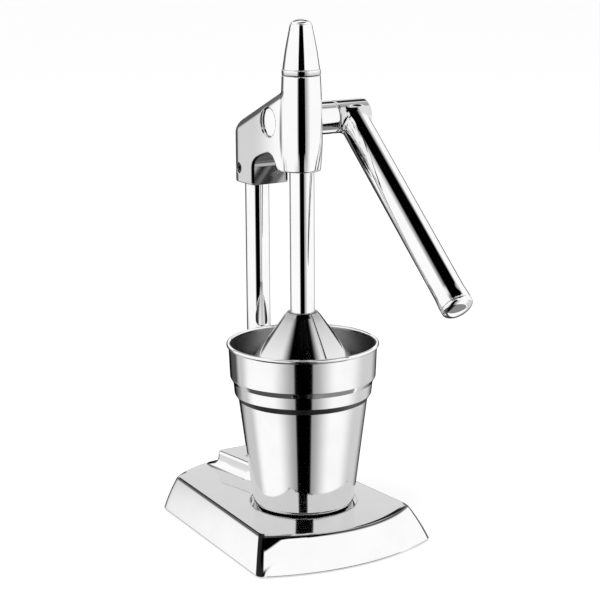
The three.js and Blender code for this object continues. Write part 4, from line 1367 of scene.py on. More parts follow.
@dataclass
class Head:
    """The head casting: barrel, arched web under a sloping top, rear leg and side boss."""

    axes: Axes
    barrel_low: float = 306.5
    barrel_high: float = 382.7
    barrel_low_radius: float = 15.2
    barrel_radius: float = 16.75
    barrel_high_radius: float = 15.4
    barrel_low_round: float = 1.6
    belly_share: float = 0.375
    bore: float = 13.6
    cheek_half: float = 16.6
    leg_radius: float = 17.3
    leg_low: float = 289.0
    leg_front: float = 22.1
    arch_front_y: float = 8.7
    arch_rise: float = 12.1
    arch_steps: int = 4
    arch_round: float = 1.1
    open_reach: float = 80.0
    open_depth: float = 40.0
    slope: float = math.atan(0.447)
    top_clear: float = 17.9
    edge_radius: float = 8.5
    boss_radius: float = 13.5
    boss_end: float = 43.7
    boss_round: float = 1.1
    boss_blend: float = 2.5
    bush_hole: float = 10.8
    hole_round: float = 0.35
    disc_hole: float = 12.0
    disc_depth: float = 4.0
    pocket_radius: float = 15.6
    pocket_half: float = 5.3
    socket_radius: float = 10.0
    socket_top: float = 326.0
    screw_hole: float = 4.3
    screw_height: float = 301.0
    fit: float = 0.3
    # painted shade: darker towards the rear, on the leg's front, and a dark line along the arch on both cheeks
    painted_shade_start: float = 6.0
    painted_shade_reach: float = 44.0
    leg_painted_shade: float = 0.6
    leg_facing: float = 0.7
    arch_painted_line: float = 2.2
    arch_line_span: tuple[float, float] = (0.8, 1.7)
    arch_line_depth: tuple[float, float] = (-2.0, -1.0)
    arch_line_start: float = 3.0
    bush_radius: float = 10.5
    bush_step: float = 2.0
    bush_edge: float = 0.5
    bush_rim: float = 0.9
    cell: float = 0.8
    arch_shares: tuple[tuple[float, float], ...] = (
        (0, 0), (0.065, 0.13), (0.15, 0.55), (0.24, 0.87), (0.33, 0.98), (0.4, 1), (0.61, 0.8),
        (0.8, 0.55), (0.87, 0.42), (0.93, 0.26), (0.975, 0.08), (1, -0.2))
    column_y: float = field(init=False)
    shaft_y: float = field(init=False)
    leg_front_y: float = field(init=False)
    below_arch: Array = field(init=False)

    def __post_init__(self) -> None:
        """Places that follow from the axes, about the ram's axis."""
        self.column_y = self.axes.column_y - self.axes.ram_y
        self.shaft_y = self.axes.shaft_y - self.axes.ram_y
        self.leg_front_y = self.column_y - self.leg_front
        self.below_arch = self.arch_outline()

    def arch_outline(self) -> Array:
        """Outline of the open space under the barrel, the arch and the leg.

        Returns:
            Its corners in Y and Z, about the ram's axis.
        """
        deep = self.leg_low - self.open_depth
        behind = self.column_y + self.open_reach
        span = self.leg_front_y - self.arch_front_y
        knots = np.array(self.arch_shares) * [span, self.arch_rise] + [self.arch_front_y, self.barrel_low]
        ends = [
            [self.leg_front_y, self.leg_low],
            [behind, self.leg_low],
            [behind, deep],
            [-self.open_reach, deep],
            [-self.open_reach, self.barrel_low],
        ]
        return np.concatenate([eased_curve(knots, self.arch_steps), ends])

    def barrel_radius_at(self, z: Array) -> Array:
        """The barrel's radius: a smooth swell to its widest line and back, a quarter wave on each side.

        Args:
            z: heights.

        Returns:
            The radius at each height.
        """
        belly = self.barrel_low + (self.barrel_high - self.barrel_low) * self.belly_share
        below = np.clip((z - self.barrel_low) / (belly - self.barrel_low), 0, 1)
        above = np.clip((z - belly) / (self.barrel_high - belly), 0, 1)
        swell = self.barrel_radius - self.barrel_low_radius
        taper = self.barrel_radius - self.barrel_high_radius
        low = self.barrel_low_radius + swell * np.sin(below * RIGHT)
        high = self.barrel_radius - taper * (1 - np.cos(above * RIGHT))
        return np.where(z < belly, low, high)

    def plan_field(self, x: Array, y: Array) -> Array:
        """Distance to the web's plan: circles about the ram and the column with their common tangents.

        Args:
            x: places across.
            y: places towards the rear, about the ram's axis.

        Returns:
            The distance at each place, below nothing inside.
        """
        length = self.column_y
        tilt = (self.cheek_half - self.leg_radius) / length
        level = math.sqrt(1 - tilt * tilt)
        side = np.abs(x)
        along = -tilt * side + level * y
        front = np.hypot(side, y) - self.cheek_half
        rear = np.hypot(side, y - length) - self.leg_radius
        flat = level * side + tilt * y - self.cheek_half
        return np.where(along < 0, front, np.where(along > level * length, rear, flat))

    def solid(self, p: Array) -> Array:
        """The casting's field about the ram's axis.

        Args:
            p: places.

        Returns:
            The field there.
        """
        x, y, z = p.T
        from_ram = np.hypot(x, y)
        from_shaft = np.hypot(y - self.shaft_y, z - self.axes.shaft_z)
        from_column = np.hypot(x, y - self.column_y)
        barrel = from_ram - self.barrel_radius_at(z)
        barrel = rounded_and(barrel, self.barrel_low - z, self.barrel_low_round)
        barrel = rounded_and(barrel, z - self.barrel_high, SOFT)
        above_shaft = z - self.axes.shaft_z
        top = above_shaft * math.cos(self.slope) + (y - self.shaft_y) * math.sin(self.slope) - self.top_clear
        web = rounded_and(self.plan_field(x, y), top, self.edge_radius)
        web = rounded_and(web, -outline_field(self.below_arch, y, z), self.arch_round)
        web = np.maximum(web, -y)
        boss = rounded_and(from_shaft - self.boss_radius, x - self.boss_end, self.boss_round)
        boss = np.maximum(boss, -x)
        body = rounded_or(rounded_or(web, barrel, FULL), boss, self.boss_blend)
        disc = np.maximum(from_shaft - self.disc_hole, x + self.cheek_half - self.disc_depth)
        beside = np.abs(x) - self.pocket_half
        pocket = np.maximum(from_shaft - self.pocket_radius, beside)
        slot = np.maximum(np.maximum(beside, np.abs(y - self.shaft_y) - self.pocket_radius), above_shaft)
        hollow = np.minimum(from_ram - self.bore, np.minimum(pocket, slot))
        hollow = np.minimum(hollow, from_shaft - self.bush_hole)
        socket = np.maximum(from_column - self.socket_radius - self.fit, z - self.socket_top - self.fit)
        screw = np.maximum(np.hypot(y - self.column_y, z - self.screw_height) - self.screw_hole, x)
        hollow = np.minimum(np.minimum(hollow, socket), screw)
        body = rounded_and(body, -disc, EASED)
        return rounded_and(body, -hollow, self.hole_round)

    def casting(self) -> Surface:
        """The casting's skin.

        Its metal carries painted shade: darker towards the rear, on the leg's front and in a line
        along the arch on both cheeks.

        Returns:
            The skin about the ram's axis.
        """
        low = np.array([-self.leg_radius, -self.barrel_radius, self.leg_low]) - MARGIN
        high = np.array([self.boss_end, self.column_y + self.leg_radius, self.barrel_high]) + MARGIN
        skin = skinned(self.solid, low, high, self.cell)
        x, y, z = skin.points.T
        # painted shade by place on the casting
        back = np.clip((y - self.painted_shade_start) / self.painted_shade_reach, 0, 1)
        faces_ram = (skin.normals[:, 1] < -self.leg_facing) & (back > 0.5)
        near_arch = np.interp(outline_field(self.below_arch, y, z), self.arch_line_span, [1, 0])
        at_cheek = np.interp(np.abs(x) - self.cheek_half, self.arch_line_depth, [0, 1])
        in_front = (y > self.arch_front_y - self.arch_line_start) & (z > self.leg_low + MARGIN)
        line = self.arch_painted_line * near_arch * at_cheek * in_front
        return replace(skin, satin=eased(back) + self.leg_painted_shade * faces_ram + line)

    def bush(self) -> Surface:
        """The bright disc of the left bush, in the left cheek.

        Returns:
            The disc at its place.
        """
        box = NodeBox.of("shaft_bush_left")
        radius = float(box.high[2] - box.low[2]) / 2
        face, back = float(box.low[0]), float(box.high[0])
        profile = Profile.rounded([
            (0, -back, 0),
            (self.bush_radius, -back, SHARP),
            (self.bush_radius, -face - self.bush_step, FINE),
            (radius, -face - self.bush_step, SHARP),
            (radius, -face - self.bush_edge, EASED),
            (radius - self.bush_rim, -face, SOFT),
            (0, -face, 0),
        ])
        to_left = np.array([[0, 0, -1], [0, 1, 0], [1, 0, 0]], dtype=float)
        disc = revolved(profile, BUSH_STEPS).turned(to_left)
        return disc.moved(0, self.axes.shaft_y, self.axes.shaft_z)

    def build(self, shop: Workshop) -> None:
        """Makes the casting and the disc, and dresses what is hidden in them.

        Args:
            shop: where they are put.
        """
        casting = self.casting().moved(y=self.axes.ram_y)
        shop.place("polished_head", casting, Slot.CHROME, Body.STAND, ["head_casting"])
        shop.place("bush_disc", self.bush(), Slot.CHROME, Body.STAND, ["shaft_bush_left"])
        shop.dress(Slot.BLACK_STEEL, ["column_set_screw"])
        shop.dress(Slot.BRONZE, ["ram_guide_bush", "shaft_bush_right"])


@dataclass
class TopCap:
    """The collar on the barrel and the tapered cap over the ram's upper end."""

    axes: Axes
    collar_height: float = 4.5
    collar_radius: float = 15.4
    bore: float = 6.8
    neck: float = 11.9
    spigot: float = 13.3
    cap_gap: float = 0.3
    lip: float = 0.1
    waist_radius: float = 12.4
    waist_swell: float = 0.35
    waist_share: float = 0.42
    waist_round: float = 60.0
    nose_radius: float = 8.7
    nose_round: float = 2.2
    button_step: float = 0.6
    button_low: float = 0.15
    button_high: float = 0.3
    button_edge: float = 0.1
    button: float = 4.0
    dome_steps: int = 20
    crown: float = 5.9
    crown_radius: float = 7.2
    crown_round: float = 1.0
    # painted shade in the seam under the collar
    seam_painted_shade: float = 2.5
    seam_span: tuple[float, float] = (0.5, 1.1)

    def collar(self) -> Surface:
        """The ring between the two seams, with a painted shade line along its lower one.

        Returns:
            The ring about the ram's axis.
        """
        box = NodeBox.of("top_guide_collar")
        low, high = float(box.low[2]), float(box.high[2])
        seam = float(NodeBox.of("top_cap").low[2])
        barrel_top = seam - self.collar_height
        profile = Profile.rounded([
            (self.bore, low, SHARP),
            (self.spigot, low, SHARP),
            (self.spigot, barrel_top, FINE),
            (self.collar_radius, barrel_top, SOFT),
            (self.collar_radius, seam, BLUNT),
            (self.neck, seam, FINE),
            (self.neck, high, SHARP),
            (self.bore, high, SHARP),
        ], closed=True)
        ring = revolved(profile, closed=True)
        # painted shade along the lower seam
        line = np.interp(ring.points[:, 2] - barrel_top, self.seam_span, [self.seam_painted_shade, 0])
        return replace(ring, satin=line)

    def cap(self) -> Surface:
        """The tapered cap with its small dome, hollow over the ram.

        Returns:
            The cap about the ram's axis.
        """
        box = NodeBox.of("top_cap")
        seam, top, seam_radius = float(box.low[2]), float(box.high[2]), float(box.high[0])
        collar_top = float(NodeBox.of("top_guide_collar").high[2])
        nose = top - self.button
        waist = seam + (nose - seam) * self.waist_share
        button = self.nose_radius - self.button_step
        inner = self.neck + self.cap_gap
        inside = Profile.rounded([
            (0, top - self.crown, 0),
            (self.crown_radius, top - self.crown, self.crown_round),
            (inner, collar_top + self.lip, EASED),
            (inner, seam, self.lip),
        ])
        outside = Profile.rounded([
            (inner, seam, FINE),
            (seam_radius, seam, BLUNT),
            (self.waist_radius + self.waist_swell, waist, self.waist_round),
            (self.nose_radius, nose, self.nose_round),
            (button, nose + self.button_low, self.button_edge),
            (button, nose + self.button_high, self.button_edge),
        ])
        dome = Profile.dome(nose + self.button_high, button, top - nose - self.button_high, self.dome_steps)
        return revolved(Profile.joined(inside, outside, dome))

    def build(self, shop: Workshop) -> None:
        """Makes the collar and the cap.

        Args:
            shop: where they are put.
        """
        collar = self.collar().moved(y=self.axes.ram_y)
        cap = self.cap().moved(y=self.axes.ram_y)
        shop.place("guide_collar", collar, Slot.CHROME, Body.STAND, ["top_guide_collar"])
        shop.place("ram_cap", cap, Slot.CHROME, Body.STAND, ["top_cap"])


@dataclass
class Ram:
    """The plated ram, and the rack in its back."""

    axes: Axes
    chamfer: float = 1.0
    tail_radius: float = 6.5
    shoulder: float = 349.0
    shoulder_round: float = 0.4

    def build(self, shop: Workshop) -> None:
        """Makes the ram's rod; the rack stays hidden behind it.

        Args:
            shop: where it is put.
        """
        box = NodeBox.of("ram")
        radius = float(box.high[0])
        low, high = float(box.low[2]), float(box.high[2])
        profile = Profile.rounded([
            (0, low, 0),
            (radius - self.chamfer, low, SHARP),
            (radius, low + self.chamfer, SHARP),
            (radius, self.shoulder, self.shoulder_round),
            (self.tail_radius, self.shoulder, SHARP),
            (self.tail_radius, high - self.chamfer, SHARP),
            (self.tail_radius - self.chamfer, high, SHARP),
            (0, high, 0),
        ])
        rod = revolved(profile).moved(y=self.axes.ram_y)
        shop.place("plated_ram", rod, Slot.CHROME, Body.RAM, ["ram"])
        shop.dress(Slot.STEEL, ["ram_rack", "rack_pin_lower", "rack_pin_upper"])


@dataclass
class PressBell:
    """The bell that presses the fruit, and what holds it to the ram."""

    axes: Axes
    wall: float = 3.5
    neck_radius: float = 11.6
    neck_swell: float = 0.4
    neck_round: float = 1.6
    shoulder_radius: float = 14.9
    shoulder_drop: float = 3.2
    shoulder_round: float = 3.0
    cone_top_radius: float = 18.0
    cone_drop: float = 7.6
    cone_round: float = 7.0
    rim_depth: float = 5.0
    rim_round: float = 4.0
    inner_rim_round: float = 3.0
    slope_share: float = 0.708
    crown_radius: float = 14.0
    crown_drop: float = 19.1
    crown_round: float = 2.5
    inner_cone_round: float = 1.0
    socket: float = 10.3
    socket_depth: float = 12.6
    socket_skin: float = 0.2
    screw_hole: float = 3.3
    # painted shade over the neck, shoulder and upper cone, and a dark painted ring on the top face round the
    # neck
    shades: tuple[float, ...] = (1.6, 1.5, 1.1, 0)
    shade_reach: float = 17.0
    ring_painted_shade: float = 2.7
    ring_depth: float = 0.3
    ring_width: float = 0.9

    def build(self, shop: Workshop) -> None:
        """Makes the bell: neck, soft shoulder, straight cone and upright rim, with a wall of one thickness.

        Args:
            shop: where it is put.
        """
        box = NodeBox.of("press_bell")
        top, low, rim = float(box.high[2]), float(box.low[2]), float(box.high[0])
        cone = top - self.cone_drop
        level_wall = self.wall * math.hypot(1, self.slope_share)
        inner_top = cone - (self.crown_radius + level_wall - self.cone_top_radius) / self.slope_share
        crown = top - self.crown_drop
        profile = Profile.rounded([
            (self.socket, top - self.socket_depth, SHARP),
            (self.screw_hole, top - self.socket_depth, SHARP),
            (self.screw_hole, crown, SHARP),
            (self.crown_radius - self.wall, crown, self.crown_round),
            (self.crown_radius, min(inner_top, crown), self.inner_cone_round),
            (rim - self.wall, low + self.rim_depth - self.wall / 2, self.inner_rim_round),
            (rim - self.wall, low, SOFT),
            (rim, low, FULL),
            (rim, low + self.rim_depth, self.rim_round),
            (self.cone_top_radius, cone, self.cone_round),
            (self.shoulder_radius, top - self.shoulder_drop, self.shoulder_round),
            (self.neck_radius + self.neck_swell, top, self.neck_round),
            (self.socket, top, SHARP),
        ], closed=True)
        shell = revolved(profile, closed=True)
        # painted shade: grey over the shoulder fading down the cone, a dark ring on the top face, none in the
        # socket
        radius = np.hypot(shell.points[:, 0], shell.points[:, 1])
        drop = top - shell.points[:, 2]
        shade = np.interp(drop, [0.0, self.shoulder_drop, self.cone_drop, self.shade_reach], self.shades)
        ring = self.ring_painted_shade * ((drop < self.ring_depth) & (radius < self.neck_radius + self.ring_width))
        outside = radius > self.socket + self.socket_skin
        shell = replace(shell, satin=np.maximum(shade, ring) * outside).moved(y=self.axes.ram_y)
        shop.place("press_bell_shell", shell, Slot.CHROME, Body.RAM, ["press_bell"])
        shop.dress(Slot.STEEL, ["bell_washer", "bell_screw"])


@dataclass
class Lever:
    """The lever: a hub across the shaft, a tubular arm and its rounded end cap."""

    axes: Axes
    drop: float = math.radians(40.7)
    hub_radius: float = 13.5
    hub_start: float = 44.2
    hub_end: float = 74.5
    recess: float = 5.6
    recess_radius: float = 10.4
    arm_radius: float = 12.5
    arm_end_radius: float = 13.0
    arm_length: float = 201.0
    arm_offset: float = 2.2
    arm_share: float = 0.52
    arm_top: float = 2.0
    arm_top_round: float = 3.0
    arm_margin: float = 3.5
    flare: float = 14.0
    flare_share: float = 0.75
    wall: float = 2.0
    plug: float = 24.0
    shaft_hole: float = 8.3
    grip_hole: float = 3.3
    blend: float = 3.0
    cap_gap: float = 0.3
    cap_edge: float = 0.7
    cap_dome: float = 6.1
    cap_spigot: float = 12.0
    cap_corner: float = 0.4
    cap_edge_round: float = 0.1
    dome_steps: int = 24
    # painted shade over the hub
    hub_painted_shade: float = 0.7
    hub_painted_shade_reach: float = 4.0
    cell: float = 0.75
    arm_x: float = field(init=False)
    start: float = field(init=False)
    end: float = field(init=False)
    turn: Array = field(init=False)

    def __post_init__(self) -> None:
        """The arm's place on the hub, the hub's ends about it, and the turn from upright to the real pose."""
        self.arm_x = self.hub_start + (self.hub_end - self.hub_start) * self.arm_share
        self.start = self.hub_start - self.arm_x
        self.end = self.hub_end - self.arm_x
        self.turn = turn_about_x(self.drop - RIGHT)

    def arm_radius_at(self, z: Array) -> Array:
        """The arm's radius: plain, with a slight flare over its last stretch.

        Args:
            z: heights in the lever's own frame.

        Returns:
            The radius at each height.
        """
        share = np.clip((-z - self.arm_length + self.flare) / (self.flare * self.flare_share), 0, 1)
        return self.arm_radius + (self.arm_end_radius - self.arm_radius) * eased(share)

    def solid(self, p: Array) -> Array:
        """The lever's field in its own frame, with the arm along -Z and the hub along X.

        Args:
            p: places.

        Returns:
            The field there.
        """
        x, y, z = p.T
        from_shaft = np.hypot(y, z)
        from_arm = np.hypot(x, y + self.arm_offset)
        hub = rounded_and(from_shaft - self.hub_radius, np.maximum(self.start - x, x - self.end), FULL)
        arm = rounded_and(from_arm - self.arm_radius_at(z), z + self.arm_top, self.arm_top_round)
        arm = rounded_and(arm, -self.arm_length - z, EASED)
        body = rounded_or(hub, arm, self.blend)
        tube = np.maximum(from_arm - self.arm_radius + self.wall, z + self.plug)
        recess = np.maximum(from_shaft - self.recess_radius, self.end - self.recess - x)
        grip = np.maximum(np.hypot(x, y) - self.grip_hole, -z)
        hollow = np.minimum(np.minimum(from_shaft - self.shaft_hole, recess), np.minimum(tube, grip))
        return rounded_and(body, -hollow, EASED)

    def arm(self) -> Surface:
        """Hub and arm in one skin, with painted shade on the hub.

        Returns:
            The skin in the lever's own frame.
        """
        low = np.array([self.start - MARGIN, -self.hub_radius - self.arm_margin, -self.arm_length - MARGIN])
        high = np.array([self.end, self.hub_radius, self.hub_radius]) + MARGIN
        skin = skinned(self.solid, low, high, self.cell)
        # painted shade over the hub
        on_hub = np.clip((skin.points[:, 2] + self.hub_radius) / self.hub_painted_shade_reach, 0, 1)
        return replace(skin, satin=self.hub_painted_shade * on_hub)

    def end_cap(self) -> Surface:
        """The rounded end of the arm, with its spigot in the tube.

        Returns:
            The cap in the lever's own frame.
        """
        inner = self.arm_radius - self.wall - self.cap_gap
        plug = Profile.rounded([
            (0, -self.cap_spigot, 0),
            (inner, -self.cap_spigot, EASED),
            (inner, 0, FINE),
            (self.arm_end_radius, 0, self.cap_corner),
            (self.arm_end_radius, self.cap_edge, self.cap_edge_round),
        ])
        rise = self.cap_dome - self.cap_edge
        dome = Profile.dome(self.cap_edge, self.arm_end_radius, rise, self.dome_steps)
        over = np.array([[1, 0, 0], [0, -1, 0], [0, 0, -1]], dtype=float)
        cap = revolved(Profile.joined(plug, dome)).turned(over)
        return cap.moved(0, -self.arm_offset, -self.arm_length - self.cap_gap)

    def seated(self, surface: Surface) -> Surface:
        """A surface of the lever's own frame, turned to its drop and moved to the shaft."""
        return surface.turned(self.turn).moved(self.arm_x, self.axes.shaft_y, self.axes.shaft_z)

    def build(self, shop: Workshop) -> None:
        """Makes the lever and its end cap, and dresses the shaft's pieces.

        Args:
            shop: where they are put.
        """
        shop.place("polished_lever", self.seated(self.arm()), Slot.CHROME, Body.LEVER, ["lever"])
        shop.place("lever_cap", self.seated(self.end_cap()), Slot.CHROME, Body.LEVER, ["lever_end_cap"])
        shop.dress(Slot.BLACK_STEEL, ["lever_set_screw"])
        shop.dress(Slot.STEEL, ["lever_washer", "lever_screw", "lever_shaft", "pinion_gear", "shaft_key"])


@dataclass
class Cup:
    """The drawn cup: rounded foot, tapered wall, two steps, tall band and rolled rim."""

    axes: Axes
    foot_radius: float = 41.4
    foot_corner: float = 4.5
    inner_corner: float = 3.5
    wall: float = 1.2
    roll: float = 1.6
    roll_start: float = -math.radians(52)
    roll_steps: int = 24
    tuck: Corner = (0.05, 0.4, 0.2)
    # painted shadow under the steps
    step_painted_shadow: float = 1.35
    inward: float = 0.2
    upward: float = -0.2
    downward: float = -0.5
    gains: tuple[Corner, ...] = (
        (89.5, 11.4, 1.6), (5.0, 3.2, 1.6), (9.5, 1.0, 1.6), (4.5, 2.5, 1.6), (24.9, 1.1, 0.3))

    def build(self, shop: Workshop) -> None:
        """Makes the cup: the outside up to the rolled rim and the inside back down, one wall apart.

        Inside the cup painted shade darkens the colour and the metal is rougher; under the steps painted
        shadow darkens it.

        Args:
            shop: where it is put.
        """
        floor = float(NodeBox.of("cup").low[2])
        outer: list[Corner] = [(0, floor, 0), (self.foot_radius, floor, self.foot_corner)]
        inner: list[Corner] = []
        radius, height = self.foot_radius, floor
        for rise, gain, soft in self.gains:
            radius += gain
            height += rise
            outer.append((radius, height, soft))
            inner.append((radius - self.wall, height, soft))
        centre = (radius, height + self.roll)
        bead = Profile.oval(centre, (self.roll, self.roll), self.roll_start, math.pi, self.roll_steps)
        tuck, drop, soft = self.tuck
        outer[-1] = (radius - tuck, height - drop, soft)
        outer.append((float(bead.points[0, 0]), float(bead.points[0, 1]), 0))
        inside_floor = floor + self.wall
        inside = [
            (float(bead.points[-1, 0]), height + self.roll, 0),
            *reversed(inner),
            (self.foot_radius - self.wall, inside_floor, self.inner_corner),
            (0, inside_floor, 0),
        ]
        cup = revolved(Profile.joined(Profile.rounded(outer), bead, Profile.rounded(inside)), CUP_STEPS)
        # painted shade inside the cup and painted shadow under the steps
        level = cup.points[:, :2]
        spoke = level / np.maximum(np.hypot(*level.T), TINY)[:, None]
        facing_in = (cup.normals[:, :2] * spoke).sum(axis=1) < self.inward
        z, tilt = cup.points[:, 2], cup.normals[:, 2]
        within = facing_in & (tilt > self.upward) & (z < height)
        under_step = ~facing_in & (tilt < self.downward)
        under_step &= (z > floor + self.foot_radius) & (z < height - self.foot_corner)
        cup = replace(cup, satin=within + self.step_painted_shadow * under_step).moved(y=self.axes.ram_y)
        shop.place("drawn_cup", cup, Slot.STAINLESS, Body.CUP, ["cup"])


@dataclass
class Strainer:
    """The perforated strainer and the ribbed reamer on it."""

    axes: Axes
    wall: float = 1.2
    rim_drop: float = 2.2
    rim_gap: float = 0.9
    floor_radius: float = 49.6
    floor_share: float = 1.5
    hole_radius: float = 1.8
    hole_edge: float = 0.1
    hole_steps: int = 20
    first_row: float = 41.5
    row_step: float = 5.2
    holes_in_row: int = 20
    cutter_low: float = 2.0
    cutter_high: float = 4.0
    sharp_angle: float = math.radians(28)
    ribs: int = 12
    rib_rise: float = 2.4
    rib_power: float = 2.2
    rib_reach: float = 2.2
    rib_start: float = 0.1
    rib_span: float = 0.75
    skirt: float = 3.0
    skirt_share: float = 0.6
    hem: float = 2.0
    hem_corner: float = 0.2
    hem_rise: float = 0.3
    tip_radius: float = 4.0
    tip_rings: tuple[tuple[float, float], ...] = ((0.7, 0.9), (0.35, 0.3))
    tip_drop: float = 0.05
    width_power: float = 1.3
    height_power: float = 1.1
    first_share: float = 0.02
    last_share: float = 0.97
    dome_rings: int = 34
    around: int = 288

    def dish(self) -> Surface:
        """The dish before its holes are cut.

        Returns:
            The closed skin about the ram's axis.
        """
        box = NodeBox.of("strainer")
        low, high, lip = float(box.low[2]), float(box.high[2]), float(box.high[0])
        ledge = high - self.rim_drop
        radius = lip - self.rim_gap
        return revolved(Profile.rounded([
            (0, low, 0),
            (self.floor_radius - self.wall, low, FULL),
            (radius - self.wall, ledge, SOFT),
            (radius, ledge, EASED),
            (lip, high, SHARP),
            (lip - self.wall, high, SHARP),
            (radius - self.wall, ledge + self.wall, SOFT),
            (self.floor_radius - self.wall * self.floor_share, low + self.wall, SOFT),
            (0, low + self.wall, 0),
        ]))

    def cutter(self) -> Surface:
        """Two rows of pins that cut the holes, the second row between the first.

        Returns:
            All the pins.
        """
        floor = float(NodeBox.of("strainer").low[2])
        low, high = floor - self.cutter_low, floor + self.cutter_high
        pin = revolved(Profile.rounded([
            (0, low, 0),
            (self.hole_radius, low, self.hole_edge),
            (self.hole_radius, high, self.hole_edge),
            (0, high, 0),
        ]), self.hole_steps)
        pins = []
        for row in (0, 1):
            radius = self.first_row + row * self.row_step
            for a in (np.arange(self.holes_in_row) + row / 2) * TURN / self.holes_in_row:
                pins.append(pin.moved(radius * math.cos(a), radius * math.sin(a)))
        return combined(*pins)

    def dish_mesh(self) -> bpy.types.Mesh:
        """The dish with its holes, cut by a Boolean whose cutter isn't kept.

        Returns:
            The mesh at its place.
        """
        scene = bpy.context.scene.collection.objects
        blank = bpy.data.objects.new("dish_blank", self.dish().bare().mesh("dish_blank"))
        pins = bpy.data.objects.new("dish_pins", self.cutter().bare().mesh("dish_pins"))
        for work in (blank, pins):
            scene.link(work)
        cut = blank.modifiers.new("holes", "BOOLEAN")
        cut.operation = "DIFFERENCE"
        cut.object = pins
        graph = bpy.context.evaluated_depsgraph_get()
        mesh = bpy.data.meshes.new_from_object(blank.evaluated_get(graph))
        mesh.transform(Matrix.Translation((0, self.axes.ram_y * MM, 0)))
        for work in (blank, pins):
            bpy.data.objects.remove(work)
        mesh.name = "perforated_strainer"
        mesh.shade_smooth()
        mesh.set_sharp_from_angle(angle=self.sharp_angle)
        return mesh

    def reamer(self) -> Surface:
        """The reamer: height along a dome, raised at each rib.

        At share t of the way up, radius = tip + (foot - tip) cos(90 t)^1.3 and height = h sin(90 t)^1.1;
        at angle a a ridge (1 - |sin(n a / 2)|)^2.2 lifts the skin by the rib's rise.

        Returns:
            The reamer's surface.
        """
        box = NodeBox.of("reamer")
        low, high, foot = float(box.low[2]), float(box.high[2]), float(box.high[0])
        rise = high - low - self.skirt - self.tip_radius / 2
        angle = np.arange(self.around) * TURN / self.around
        ridge = (1 - np.abs(np.sin(self.ribs * angle / 2))) ** self.rib_power
        spoke = np.stack([np.cos(angle), np.sin(angle)], 1)
        stack = RingStack()
        stack.add((foot - self.hem) * spoke, low + self.hem)
        stack.add((foot - self.hem) * spoke, low)
        stack.add((foot - self.hem_corner) * spoke, low)
        stack.add(foot * spoke, low + self.hem_rise)
        stack.add(foot * spoke, low + self.skirt * self.skirt_share)
        for t in np.linspace(self.first_share, self.last_share, self.dome_rings):
            a = RIGHT * t
            radius = self.tip_radius + (foot - self.tip_radius) * math.cos(a) ** self.width_power
            swell = math.sin(math.pi * (self.rib_start + self.rib_span * t))
            lift = self.rib_rise * swell * min(1.0, radius / (self.rib_reach * self.tip_radius))
            height = low + self.skirt + rise * math.sin(a) ** self.height_power
            stack.add(radius * spoke, height + lift * ridge)
        for share, drop in self.tip_rings:
            stack.add(self.tip_radius * share * spoke, high - drop)
        skin = stack.skin((0.0, 0.0, low + self.hem), (0.0, 0.0, high - self.tip_drop))
        return skin.bare().moved(y=self.axes.ram_y)

    def build(self, shop: Workshop) -> None:
        """Makes the strainer and the reamer.

        Args:
            shop: where they are put.
        """
        shop.place("perforated_strainer", self.dish_mesh(), Slot.STAINLESS, Body.STRAINER, ["strainer"])
        shop.place("ribbed_reamer", self.reamer(), Slot.STAINLESS, Body.STRAINER, ["reamer"])


# Camera and studio
def bearing_of(azimuth: float, elevation: float) -> Array:
    """A unit direction: azimuth from the front, growing to the right, and elevation above the horizon."""
    level = math.cos(elevation)
    return np.array([math.sin(azimuth) * level, -math.cos(azimuth) * level, math.sin(elevation)])


@dataclass(frozen=True)
class Viewpoint:
    """The photograph's camera, found by fitting the press's outline to it."""

    axes: Axes
    azimuth: float = math.radians(-30.807)
    pitch: float = math.radians(13.126)
    roll: float = math.radians(-0.341)
    distance: float = 1438.903
    focal_px: float = 1776.273
    image_px: float = 600.0
    sensor: float = 36.0
    far: float = 50.0
    aim_side: float = -1.988
    aim_height: float = 200.861

    def build(self) -> None:
        """Makes the scene's camera."""
        back = bearing_of(self.azimuth, self.pitch)
        right = np.array([math.cos(self.azimuth), math.sin(self.azimuth), 0.0])
        up = np.cross(back, right)
        aim = np.array([0.0, self.axes.ram_y, self.aim_height]) + right * self.aim_side
        place = (aim + back * self.distance) * MM
        across = math.cos(self.roll) * right + math.sin(self.roll) * up
        upward = -math.sin(self.roll) * right + math.cos(self.roll) * up
        camera = bpy.data.cameras.new("camera")
        camera.sensor_width = self.sensor
        camera.lens = self.focal_px / self.image_px * self.sensor
        camera.clip_end = self.far
        holder = bpy.data.objects.new("camera", camera)
        columns = np.stack([across, upward, back, place], axis=1)
        holder.matrix_world = Matrix(np.concatenate([columns, [[0, 0, 0, 1]]]).tolist())
        bpy.context.scene.collection.objects.link(holder)
        bpy.context.scene.camera = holder


@dataclass(frozen=True)
class Flag:
    """A dark card of the studio, as a patch of directions that mirrors see.

    Angles are in degrees: azimuth from the camera's side, growing to the right as the camera sees it
    behind itself, and elevation above the horizon.
    """

    azimuth: float
    half: float
    low: float
    high: float
    left_soft: float = 4.0
    right_soft: float = 4.0
    end_soft: float = 4.0
    depth: float = 1.0

    def shading(self, bearing: Wire, elevation: Wire) -> Wire:
        """What the card leaves of the light: 1 less its depth times a smooth step at each of its four sides.

        Args:
            bearing: azimuth of the direction that is seen, in degrees.
            elevation: its elevation, in degrees.

        Returns:
            The share of the light that is left.
        """
        offset = bearing - self.azimuth + TURN_DEGREES * 1.5
        wrapped = offset.maths("MODULO", offset, TURN_DEGREES) - TURN_DEGREES / 2
        left = wrapped.stepped(-self.half - self.left_soft, -self.half)
        right = 1 - wrapped.stepped(self.half, self.half + self.right_soft)
        low = elevation.stepped(self.low - self.end_soft, self.low)
        high = 1 - elevation.stepped(self.high, self.high + self.end_soft)
        return 1 - left * right * low * high * self.depth


